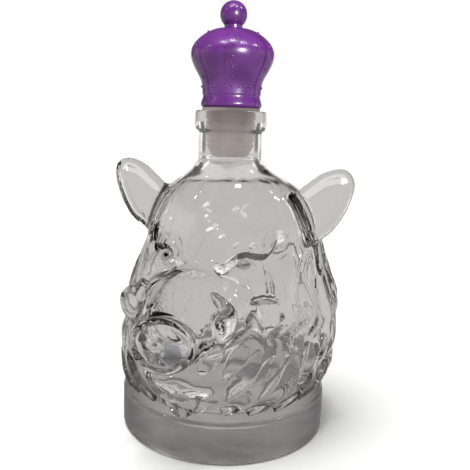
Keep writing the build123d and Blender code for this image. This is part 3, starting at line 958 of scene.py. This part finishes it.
# %% [markdown]
# The glass is blown to an even wall, so the hollow follows the head, the muzzle and the foot a wall's
# thickness inside them. A Solidify modifier would follow every lock of hair as well. The hollow is
# melted from the same lofts instead, made smaller, so its inside is smooth, and each lock works as a
# lens that bends what is seen through it. The floor is thick and flat, because a thin or dished one
# mirrors the dark ceiling in the foot.
# %% Melt the hollow
WALL = 4.0
FLOOR = 9.0
HOLLOW_VOXEL = 1.6
HOLLOW_ROUNDS = 16
HOLLOW_FOOT_RADIUS = 33.0
MUZZLE_ROWS_BETWEEN = 4
MELTED_MUZZLE_END = 50.0
FOOT_HOLLOW_CORNERS = (
    (0.0, FLOOR, 0), (HOLLOW_FOOT_RADIUS, FLOOR, 5.0), (HOLLOW_FOOT_RADIUS, 24.0, 0), (0.0, 24.0, 0),
)


def melted_hollow():
    bm = bmesh.new()
    rows = [(z, max(wide - WALL, BORE_RADIUS), max(deep - WALL, BORE_RADIUS), back)
            for z, wide, deep, back in eased(HEAD_ROWS[:-1], ROWS_BETWEEN)]
    rows.append((SHOULDER + 3.0, BORE_RADIUS, BORE_RADIUS, 0.0))
    loft(bm, [level_ring(*row) for row in rows])
    muzzle_rows = [row for row in eased(MUZZLE_ROWS, MUZZLE_ROWS_BETWEEN) if row[0] < MELTED_MUZZLE_END]
    loft(bm, [face_ring(*row, smaller=WALL) for row in muzzle_rows])
    turned(bm, FOOT_HOLLOW_CORNERS)
    return melted("hollow_clay", bm, HOLLOW_VOXEL, HOLLOW_ROUNDS)


hollow = melted_hollow()
print("melted hollow:", len(hollow.data.polygons), "faces")

# %% [markdown]
# The melt would round the end of the snout's hollow into a bowl, and a bowl behind the pad turns what
# is seen through it upside down. So a crisp hollow with a flat end is added there, which leaves the pad
# an even wall. It starts small inside the melted one, so that no ring shows where the two meet. The
# bore of the neck is turned, because the stopper needs it straight.
# %% Snout hollow and bore
MUZZLE_START = 33.0
MUZZLE_END = 53.0
MUZZLE_STEP = 2.2
PAD_WALL = 3.0
PAD_HOLLOW = (10.6, 8.0)
PAD_END = (
    # distance behind the flat end, and share of the full size
    (2.6, 1.0), (0.7, 1.0), (0.2, 0.97), (0.0, 0.92),
)
BORE_CORNERS = (
    (0.0, 110.0, 0), (BORE_RADIUS - 0.9, 110.0, 0), (BORE_RADIUS, 119.0, 3.0),
    (BORE_RADIUS, LIP + 1.0, 0), (0.0, LIP + 1.0, 0),
)


def snout_hollow():
    placings = []
    for row in eased(MUZZLE_ROWS, 6):
        if MUZZLE_START < row[0] < MUZZLE_END:
            early = (MUZZLE_END - row[0]) / (MUZZLE_END - MUZZLE_START)
            placings.append(face_ring(*row, smaller=WALL + MUZZLE_STEP * early ** 2))
    for back, size in PAD_END:
        half_wide, half_high = PAD_HOLLOW[0] * size, PAD_HOLLOW[1] * size
        placings.append(pad_ring(NOSE_THICK - PAD_WALL - back, half_wide, half_high))
    bm = bmesh.new()
    loft(bm, placings)
    return mesh_piece("snout_hollow", bm)


def combine(piece, other, operation):
    cut = piece.modifiers.new(other.name, "BOOLEAN")
    cut.operation = operation
    cut.object = other
    cut.solver = "MANIFOLD"
    done = with_modifiers(piece)
    bpy.data.objects.remove(other)
    return done


hollow = combine(hollow, snout_hollow(), "UNION")
bore = turned_piece("bore_clay", BORE_CORNERS)
print("whole hollow:", len(hollow.data.polygons), "faces")

# %% [markdown]
# The real bottle is one piece of glass, and so is this one. Pieces that only overlap would show their
# inner faces through each other, so they become one solid by Booleans, and the clay helpers are
# removed. The glass is scaled from millimetres to metres once, in the mesh, so the object itself stays
# unscaled at the origin. It stands for the imported bottle, which is hidden, and rides on its body.
# %% Join the glass
SHARP_ANGLE = radians(40)
SLIVER = 0.02


def joined_glass():
    glass = head
    added = [(piece, "UNION") for piece in [foot, neck] + locks]
    for other, operation in added + [(hollow, "DIFFERENCE"), (bore, "DIFFERENCE")]:
        glass = combine(glass, other, operation)
    bm = bmesh.new()
    bm.from_mesh(glass.data)
    bmesh.ops.dissolve_degenerate(bm, dist=SLIVER, edges=bm.edges)
    cut_large_faces(bm)
    bmesh.ops.scale(bm, vec=(MM, MM, MM), verts=bm.verts)
    bm.to_mesh(glass.data)
    bm.free()
    glass.name = glass.data.name = "cast_glass"
    glass.data.shade_smooth()
    glass.data.set_sharp_from_angle(angle=SHARP_ANGLE)
    return glass


glass = joined_glass()
print("glass:", len(glass.data.vertices), "points", len(glass.data.polygons), "faces")
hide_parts("glass_bottle")
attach(glass, "bottle")

# %% [markdown]
# Materials are trees of nodes. In the editor they are wired by hand, and in a script each node would
# take several lines, so this small helper adds a node, fills its sockets and links them in one call.
# Its ramp turns a range of one value softly into a range of another.
# %% Node helper
class Sockets:
    """Adds nodes to a tree and links them in one call."""

    def __init__(self, tree):
        self.tree = tree

    def add(self, kind, links=(), **settings):
        node = self.tree.nodes.new("ShaderNode" + kind)
        for key, value in settings.items():
            setattr(node, key, value)
        for socket, value in dict(links).items():
            target = node.inputs[socket]
            if isinstance(value, bpy.types.NodeSocket):
                self.tree.links.new(value, target)
            else:
                target.default_value = value
        return node

    def link(self, source, target):
        self.tree.links.new(source, target)

    def math(self, operation, a, b=0.0, clamp=False):
        node = self.add("Math", {0: a, 1: b}, operation=operation)
        node.use_clamp = clamp
        return node.outputs[0]

    def ramp(self, value, low, high, out_low, out_high):
        node = self.add("MapRange", {"Value": value, "From Min": low, "From Max": high})
        node.interpolation_type = "SMOOTHSTEP"
        node.inputs["To Min"].default_value = out_low
        node.inputs["To Max"].default_value = out_high
        return node.outputs["Result"]


def mixed_colour(s, mask, first, second):
    mix = s.add("Mix", {0: mask, 6: first, 7: second}, data_type="RGBA")
    return mix.outputs[2]


print("node helper ready")

# %% [markdown]
# Two effects show on every piece here: the slight waves and grain of a moulded surface, and the fine
# rubs of use. Painted maps could hold them, but noise in object space needs no unwrapping. Each is a
# node group, made once and given its own sizes in each material, and it puts out only values.
# %% Shared surface groups
VALUE, VECTOR = "NodeSocketFloat", "NodeSocketVector"


def new_group(name, inputs, outputs):
    group = bpy.data.node_groups.new(name, "ShaderNodeTree")
    for label, kind, value in inputs:
        socket = group.interface.new_socket(name=label, in_out="INPUT", socket_type=kind)
        socket.default_value = value
    for label, kind in outputs:
        group.interface.new_socket(name=label, in_out="OUTPUT", socket_type=kind)
    return group, Sockets(group), group.nodes.new("NodeGroupInput"), group.nodes.new("NodeGroupOutput")


def surface_group():
    """Two sizes of waviness and a cloudy mask, all in object space."""
    group, s, given, out = new_group(
        "moulded_surface",
        [("Vector", VECTOR, (0, 0, 0)), ("Wave Scale", VALUE, 60.0), ("Grain Scale", VALUE, 900.0),
         ("Wave Share", VALUE, 0.8)],
        [("Height", VALUE), ("Clouds", VALUE)])
    where = given.outputs["Vector"]
    wave = s.add("TexNoise", {"Vector": where, "Scale": given.outputs["Wave Scale"], "Detail": 2.0})
    grain = s.add("TexNoise", {"Vector": where, "Scale": given.outputs["Grain Scale"], "Detail": 3.0})
    mixed = s.add("Mix", {0: given.outputs["Wave Share"], 2: grain.outputs["Fac"], 3: wave.outputs["Fac"]})
    s.link(mixed.outputs[0], out.inputs["Height"])
    s.link(s.ramp(wave.outputs["Fac"], 0.35, 0.65, 0.0, 1.0), out.inputs["Clouds"])
    return group


def handling_group():
    """Fine rubs and specks of use as a mask from 0, clean, to 1."""
    group, s, given, out = new_group(
        "handling_marks",
        [("Vector", VECTOR, (0, 0, 0)), ("Scale", VALUE, 400.0), ("Amount", VALUE, 0.5)], [("Mask", VALUE)])
    speck = s.add("TexVoronoi", {"Vector": given.outputs["Vector"], "Scale": given.outputs["Scale"]})
    patch = s.add("TexNoise", {"Vector": given.outputs["Vector"], "Scale": 35.0, "Detail": 4.0})
    specks = s.ramp(speck.outputs["Distance"], 0.12, 0.05, 0.0, 1.0)
    patches = s.ramp(patch.outputs["Fac"], 0.5, 0.72, 0.0, 1.0)
    worn = s.math("MAXIMUM", s.math("MULTIPLY", specks, patches), s.math("MULTIPLY", patches, 0.4))
    s.link(s.math("MULTIPLY", worn, given.outputs["Amount"], clamp=True), out.inputs["Mask"])
    return group


SURFACE, HANDLING = surface_group(), handling_group()
print("shared groups:", SURFACE.name, HANDLING.name)

# %% [markdown]
# Every material starts the same way: a Principled shader and the two groups, all reading the place on
# the object, so the pattern moves with its piece. Starting from one function keeps them alike, and
# leaves only what makes each finish its own. Height never moves the mesh here, it only tilts the
# normal through a bump, because the waves are far finer than the faces.
# %% Start of every material
def new_material(name, wave_scale, grain_scale, wave_share, rub_scale, rub_amount):
    material = bpy.data.materials.new(name)
    material.use_nodes = True
    tree = material.node_tree
    tree.nodes.clear()
    s = Sockets(tree)
    where = s.add("TexCoord").outputs["Object"]
    surface = s.add("Group", node_tree=SURFACE)
    handling = s.add("Group", node_tree=HANDLING)
    for group, values in (
            (surface, {"Wave Scale": wave_scale, "Grain Scale": grain_scale, "Wave Share": wave_share}),
            (handling, {"Scale": rub_scale, "Amount": rub_amount})):
        s.link(where, group.inputs["Vector"])
        for socket, value in values.items():
            group.inputs[socket].default_value = value
    shader = s.add("BsdfPrincipled")
    s.link(shader.outputs[0], s.add("OutputMaterial").inputs["Surface"])
    return material, s, surface, handling, shader, where


def bumped(s, shader, height, strength, distance):
    bump = s.add("Bump", {"Height": height, "Strength": strength, "Distance": distance})
    s.link(bump.outputs["Normal"], shader.inputs["Normal"])


print("every material reads object coordinates")

# %% [markdown]
# Clear cast glass lets light through and bends it, with hardly any colour of its own. It needs full
# transmission and real thickness, not transparency, which would lose the dark outlines. Three places
# differ. The nostrils are frosted and darkened by a grey painted shade, one more than the other. The
# pupils are darkened by a grey painted shade. The underside is stippled, as the bases of bottles are,
# which makes the foot a flat even grey.
# %% Clear glass
CLEAR_TINTS = ((0.985, 0.985, 0.98, 1), (0.997, 0.997, 0.995, 1))
NOSTRIL_SPOT = Vector((
    NOSTRIL_SPACING / 2, NOSE_CENTRE.y - NOSE_THICK + 1.0, NOSE_CENTRE.z - NOSTRIL_DROP + 0.8))
NOSTRIL_EDGE = (0.0030, 0.0047)
NOSTRIL_FROST = 0.4
# painted shade: the grey that darkens the nostrils
NOSTRIL_PAINTED_SHADE = (0.5, 0.52, 0.57, 1)
FAR_NOSTRIL = 0.3
PUPIL_EDGE = (0.0027, 0.0036)
# painted shade: the grey that darkens the pupils
PUPIL_PAINTED_SHADE = (0.42, 0.42, 0.43, 1)
MIDDLE_FADE = 0.003
UNDERSIDE = (0.0014, 0.0017)
UNDERSIDE_FROST = (0.28, 0.55)
GLASS_RUBS = 0.06


def near_spot(s, where, spot, edge):
    """1 round a spot given in millimetres, and 0 past the edge."""
    gap = s.add("VectorMath", {0: where, 1: spot * MM}, operation="DISTANCE")
    return s.ramp(gap.outputs["Value"], *edge, 1.0, 0.0)


def paint(piece, material):
    piece.data.materials.clear()
    piece.data.materials.append(material)


def glass_material():
    material, s, surface, handling, shader, where = new_material(
        "clear_glass", wave_scale=55.0, grain_scale=700.0, wave_share=0.96,
        rub_scale=500.0, rub_amount=0.5)
    shader.inputs["IOR"].default_value = 1.5
    shader.inputs["Transmission Weight"].default_value = 1.0
    shader.inputs["Metallic"].default_value = 0.0
    tint = mixed_colour(s, surface.outputs["Clouds"], *CLEAR_TINTS)
    place = s.add("SeparateXYZ", {"Vector": where})
    across = s.math("ABSOLUTE", place.outputs["X"])
    folded = s.add("CombineXYZ", {0: across, 1: place.outputs["Y"], 2: place.outputs["Z"]}).outputs[0]
    share = s.ramp(place.outputs["X"], -MIDDLE_FADE, MIDDLE_FADE, FAR_NOSTRIL, 1.0)
    # the nostril mask carries both the frost and the painted shade
    nostril = s.math("MULTIPLY", near_spot(s, folded, NOSTRIL_SPOT, NOSTRIL_EDGE), share)
    # the pupil mask carries the painted shade
    pupil = near_spot(s, folded, Vector(EYE_SLIT[1][:3]), PUPIL_EDGE)
    shaded = mixed_colour(s, pupil, mixed_colour(s, nostril, tint, NOSTRIL_PAINTED_SHADE), PUPIL_PAINTED_SHADE)
    s.link(shaded, shader.inputs["Base Color"])
    frosted = s.math("MULTIPLY", nostril, NOSTRIL_FROST)
    underside = s.ramp(place.outputs["Z"], *UNDERSIDE, 1.0, 0.0)
    uneven = s.ramp(surface.outputs["Clouds"], 0.0, 1.0, *UNDERSIDE_FROST)
    stippled = s.math("MULTIPLY", underside, uneven)
    rubbed = s.ramp(handling.outputs["Mask"], 0.0, 1.0, 0.0, GLASS_RUBS)
    s.link(s.math("MAXIMUM", rubbed, s.math("MAXIMUM", frosted, stippled)), shader.inputs["Roughness"])
    bumped(s, shader, surface.outputs["Height"], 0.5, 0.0006)
    return material


paint(glass, glass_material())
print("glass is painted, pupils at", EYE_SLIT[1][:3])

# %% [markdown]
# The crown is glossy purple plastic straight from its mould: one colour all through, a shine that lies
# on top, and paler rubs where fingers turn it. Metallic paint would give sharper lights than the
# photograph has. A coat over a slightly rough base gives both its broad sheen and its small sparks.
# %% Purple crown
CROWN_COLOURS = ((0.080, 0.011, 0.127, 1), (0.107, 0.016, 0.170, 1))
CROWN_WORN = (0.30, 0.13, 0.45, 1)
CROWN_RUBS = 0.35
CROWN_ROUGHNESS = (0.3, 0.46)
CROWN_COAT = (0.35, 0.6)


def crown_material():
    material, s, surface, handling, shader, _ = new_material(
        "purple_plastic", wave_scale=130.0, grain_scale=2200.0, wave_share=0.5,
        rub_scale=900.0, rub_amount=0.6)
    body = mixed_colour(s, surface.outputs["Clouds"], *CROWN_COLOURS)
    rubs = s.math("MULTIPLY", handling.outputs["Mask"], CROWN_RUBS)
    worn = mixed_colour(s, rubs, body, CROWN_WORN)
    s.link(worn, shader.inputs["Base Color"])
    roughness = s.ramp(handling.outputs["Mask"], 0.0, 1.0, *CROWN_ROUGHNESS)
    s.link(roughness, shader.inputs["Roughness"])
    shader.inputs["IOR"].default_value = 1.5
    shader.inputs["Coat Roughness"].default_value = 0.2
    s.link(s.ramp(surface.outputs["Clouds"], 0.0, 1.0, *CROWN_COAT), shader.inputs["Coat Weight"])
    bumped(s, shader, surface.outputs["Height"], 0.25, 0.0003)
    return material


paint(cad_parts["crown_shell"], crown_material())
print("crown shell is painted")

# %% [markdown]
# The insert inside the crown is never polished, because nobody sees it until the stopper comes apart.
# It could share the crown's material, but a moulded insert is satin, so it has a rougher one with no
# coat and a slightly bluer purple.
# %% Crown insert
INSERT_COLOURS = ((0.10, 0.02, 0.19, 1), (0.14, 0.03, 0.25, 1))
INSERT_ROUGHNESS = (0.38, 0.55)


def core_material():
    material, s, surface, handling, shader, _ = new_material(
        "purple_insert", wave_scale=90.0, grain_scale=1800.0, wave_share=0.4,
        rub_scale=700.0, rub_amount=0.5)
    body = mixed_colour(s, surface.outputs["Clouds"], *INSERT_COLOURS)
    s.link(body, shader.inputs["Base Color"])
    roughness = s.ramp(handling.outputs["Mask"], 0.0, 1.0, *INSERT_ROUGHNESS)
    s.link(roughness, shader.inputs["Roughness"])
    bumped(s, shader, surface.outputs["Height"], 0.3, 0.0004)
    return material


paint(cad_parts["crown_core"], core_material())
print("crown core is painted")

# %% [markdown]
# The plug is soft milky plastic. Light enters it and comes out again all over, so in the glass neck it
# seems to glow, and it is darker and pinker under the crown. Subsurface scattering would do this
# slowly. A little transmission comes close, with a painted glow, a faint emission, for the light it
# passes on, and a painted shade, a darker pinker colour towards the top, under the crown.
# %% Translucent plug
PLUG_COLOURS = ((0.90, 0.81, 0.80, 1), (0.96, 0.89, 0.87, 1))
# painted shade: the plug's colour turns darker towards the top, under the crown
PLUG_SHADED = (0.60, 0.50, 0.48, 1)
PLUG_SHADED_FROM = (0.129, 0.137)
PLUG_ROUGHNESS = (0.3, 0.5)
# painted glow: the plug emits a little light of its own
PLUG_PAINTED_GLOW = (0.9, 0.83, 0.8, 1)
PLUG_PAINTED_GLOW_STRENGTHS = (0.07, 0.03)


def plug_material():
    material, s, surface, handling, shader, where = new_material(
        "translucent_plug", wave_scale=160.0, grain_scale=2600.0, wave_share=0.5,
        rub_scale=800.0, rub_amount=0.5)
    body = mixed_colour(s, surface.outputs["Clouds"], *PLUG_COLOURS)
    height = s.add("SeparateXYZ", {"Vector": where}).outputs["Z"]
    # painted shade under the crown, darker towards the top
    shaded = s.ramp(height, *PLUG_SHADED_FROM, 0.0, 1.0)
    s.link(mixed_colour(s, shaded, body, PLUG_SHADED), shader.inputs["Base Color"])
    shader.inputs["Transmission Weight"].default_value = 0.2
    shader.inputs["Metallic"].default_value = 0.0
    shader.inputs["IOR"].default_value = 1.46
    roughness = s.ramp(handling.outputs["Mask"], 0.0, 1.0, *PLUG_ROUGHNESS)
    s.link(roughness, shader.inputs["Roughness"])
    shader.inputs["Emission Color"].default_value = PLUG_PAINTED_GLOW
    # painted glow, fainter towards the top
    glow = s.ramp(height, *PLUG_SHADED_FROM, *PLUG_PAINTED_GLOW_STRENGTHS)
    s.link(glow, shader.inputs["Emission Strength"])
    bumped(s, shader, surface.outputs["Height"], 0.3, 0.0003)
    return material


paint(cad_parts["stopper_plug"], plug_material())
print("materials:", sorted(m.name for m in bpy.data.materials))

# %% [markdown]
# The floor is pale to the camera, as in a catalogue picture. But clear glass shows what it stands on,
# and a white floor would leave it without form. So rays that pass the glass see a glowing table top
# instead: a grey disc of painted shade under the foot, a dark ring of painted shadow round it, and a
# paler table beyond. A real dark table with a white one behind the bottle would do the same, but then
# the camera would see its edge.
# %% Floor
FLOOR_SIZE = 3.0
FLOOR_DROP = 0.0003
# where the disc, and the shadow round it, fade out, in metres from the axis
FOOT_DISC = (0.034, 0.045)
FOOT_SHADOW = (0.058, 0.1)
FLOOR_COLOUR = (0.93, 0.93, 0.92, 1)
# painted shade under the foot, and a painted shadow round it, on the glowing table
DISC_PAINTED_SHADE = (0.42, 0.4, 0.4, 1)
SHADOW_COLOUR = (0.16, 0.152, 0.158, 1)
TABLE_COLOUR = (0.56, 0.545, 0.53, 1)


def make_floor():
    bm = bmesh.new()
    bmesh.ops.create_grid(bm, x_segments=1, y_segments=1, size=FLOOR_SIZE)
    bmesh.ops.translate(bm, vec=(0, 0, -FLOOR_DROP), verts=bm.verts)
    floor = mesh_piece("floor", bm)
    material = bpy.data.materials.new("floor")
    material.use_nodes = True
    tree = material.node_tree
    tree.nodes.clear()
    s = Sockets(tree)
    place = s.add("SeparateXYZ", {"Vector": s.add("TexCoord").outputs["Object"]})
    squares = [s.math("POWER", place.outputs[axis], 2.0) for axis in "XY"]
    reach = s.math("SQRT", s.math("ADD", *squares))
    near = mixed_colour(s, s.ramp(reach, *FOOT_DISC, 0.0, 1.0), DISC_PAINTED_SHADE, SHADOW_COLOUR)
    shade = mixed_colour(s, s.ramp(reach, *FOOT_SHADOW, 0.0, 1.0), near, TABLE_COLOUR)
    seen = s.add("BsdfDiffuse", {"Color": FLOOR_COLOUR})
    # the table glows, and its disc and ring are painted shade and painted shadow
    table = s.add("Emission", {"Color": shade, "Strength": 1.0})
    camera_ray = s.add("LightPath").outputs["Is Camera Ray"]
    mix = s.add("MixShader", {0: camera_ray, 1: table.outputs[0], 2: seen.outputs[0]})
    s.link(mix.outputs[0], s.add("OutputMaterial").inputs["Surface"])
    paint(floor, material)


make_floor()
print("floor", 2 * FLOOR_SIZE, "m wide")

# %% [markdown]
# Glass is lit by what it mirrors, so the room matters more than the lamps. An even white room would
# make the bottle vanish. This one has four pale walls with dark gaps between them, a brighter panel on
# either side behind the bottle, and a dark ceiling, which darkens the glass where it turns upwards.
# A picture of a real studio would be quicker, but a few ramps can be matched to the photograph. The
# camera itself sees plain white.
# %% Room
WALL_SHADE = 0.75
WALL_EDGE = (0.25, 0.62)
GAP_SHADE = 0.14
CEILING_SHADE = 0.1
PANEL_SHADE = 1.3
PANEL_NEAR = (0.27, 0.33)
PANEL_FAR = (0.42, 0.48)
CEILING_EDGE = (0.20, 0.34)
ROOM_TINT = (0.985, 0.965)
SEEN_COLOUR = (1, 1, 1, 1)


def make_room():
    world = bpy.data.worlds.new("studio")
    world.use_nodes = True
    bpy.context.scene.world = world
    tree = world.node_tree
    tree.nodes.clear()
    s = Sockets(tree)
    way = s.add("SeparateXYZ", {"Vector": s.add("TexCoord").outputs["Generated"]})
    turn = s.math("ARCTAN2", way.outputs["X"], way.outputs["Y"])
    centred = s.math("SUBTRACT", turn, atan2(LEVEL_LOOK.x, LEVEL_LOOK.y))
    wave = s.math("ABSOLUTE", s.math("COSINE", s.math("MULTIPLY", centred, 2.0)))
    wall = s.ramp(wave, *WALL_EDGE, GAP_SHADE, WALL_SHADE)
    aside = s.math("ABSOLUTE", centred)
    panel = s.math("MULTIPLY", s.ramp(aside, *PANEL_NEAR, 0.0, 1.0), s.ramp(aside, *PANEL_FAR, 1.0, 0.0))
    wall = s.add("Mix", {0: panel, 2: wall, 3: PANEL_SHADE}).outputs[0]
    high = s.ramp(way.outputs["Z"], *CEILING_EDGE, 0.0, 1.0)
    shade = s.add("Mix", {0: high, 2: wall, 3: CEILING_SHADE}).outputs[0]
    green, blue = (s.math("MULTIPLY", shade, share) for share in ROOM_TINT)
    tint = s.add("CombineColor", {0: shade, 1: green, 2: blue})
    camera_ray = s.add("LightPath").outputs["Is Camera Ray"]
    colour = mixed_colour(s, camera_ray, tint.outputs[0], SEEN_COLOUR)
    background = s.add("Background", {"Color": colour, "Strength": 1.0})
    s.link(background.outputs[0], s.add("OutputWorld").inputs["Surface"])


make_room()
print("walls", WALL_SHADE, "gaps", GAP_SHADE, "ceiling", CEILING_SHADE)

# %% [markdown]
# Small soft boxes give the crisp highlights on the glass. Three more shine only on the crown, by light
# linking, because the plastic needs a broad sheen on its belly and its band, and the same boxes would
# flood the glass. The boxes are turned to the bottle, as a photographer turns them.
# %% Soft boxes
BOXES = (
    # name, place, height it aims at, size and watts
    ("overhead", (0.10, -0.26, 1.42), 0.12, (0.13, 0.07), 2.6),
    ("side", (0.90, 0.24, 1.07), 0.12, (0.08, 0.12), 2.0),
    ("left", (-0.80, -0.60, 0.80), 0.12, (0.05, 0.07), 0.6),
)
CROWN_BOXES = (
    ("crown_left", (-0.18, -0.53, 1.23), 0.16, (0.16, 0.16), 3.0),
    ("crown_right", (0.51, -0.24, 1.23), 0.16, (0.16, 0.16), 3.0),
    ("crown_front", (0.72, -0.67, 0.35), 0.16, (0.2, 0.24), 10.0),
)


def soft_box(name, place, aim_height, size, watts):
    light = bpy.data.lights.new(name, "AREA")
    light.shape = "RECTANGLE"
    light.size, light.size_y = size
    light.energy = watts
    lamp = bpy.data.objects.new(name, light)
    lamp.location = place
    towards = Vector((0, 0, aim_height)) - Vector(place)
    lamp.rotation_euler = towards.to_track_quat("-Z", "Y").to_euler()
    bpy.context.scene.collection.objects.link(lamp)
    return lamp


def only_for(lamp, pieces):
    """The lamp lights only these pieces."""
    lit = bpy.data.collections.new(lamp.name + "_lit")
    for piece in pieces:
        lit.objects.link(piece)
    lamp.light_linking.receiver_collection = lit


for row in BOXES:
    soft_box(*row)
for row in CROWN_BOXES:
    only_for(soft_box(*row), [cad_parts["crown_shell"]])
print(len(BOXES) + len(CROWN_BOXES), "soft boxes")

# %% [markdown]
# A broad sun lights the floor evenly and gives the bottle its soft shadow. A large area light would
# show in the glass as a white patch, and so would this one, so it is hidden from mirrored and bent
# rays. The plain view transform keeps white as white.
# %% Open sky
SKY_POWER = 3.15
SKY_ANGLE = radians(60)
SKY_TURN = (radians(12), radians(-14), 0)


def open_sky():
    light = bpy.data.lights.new("sky", "SUN")
    light.energy = SKY_POWER
    light.angle = SKY_ANGLE
    lamp = bpy.data.objects.new("sky", light)
    lamp.rotation_euler = SKY_TURN
    lamp.visible_glossy = False
    lamp.visible_transmission = False
    bpy.context.scene.collection.objects.link(lamp)


open_sky()
bpy.context.scene.view_settings.view_transform = "Standard"
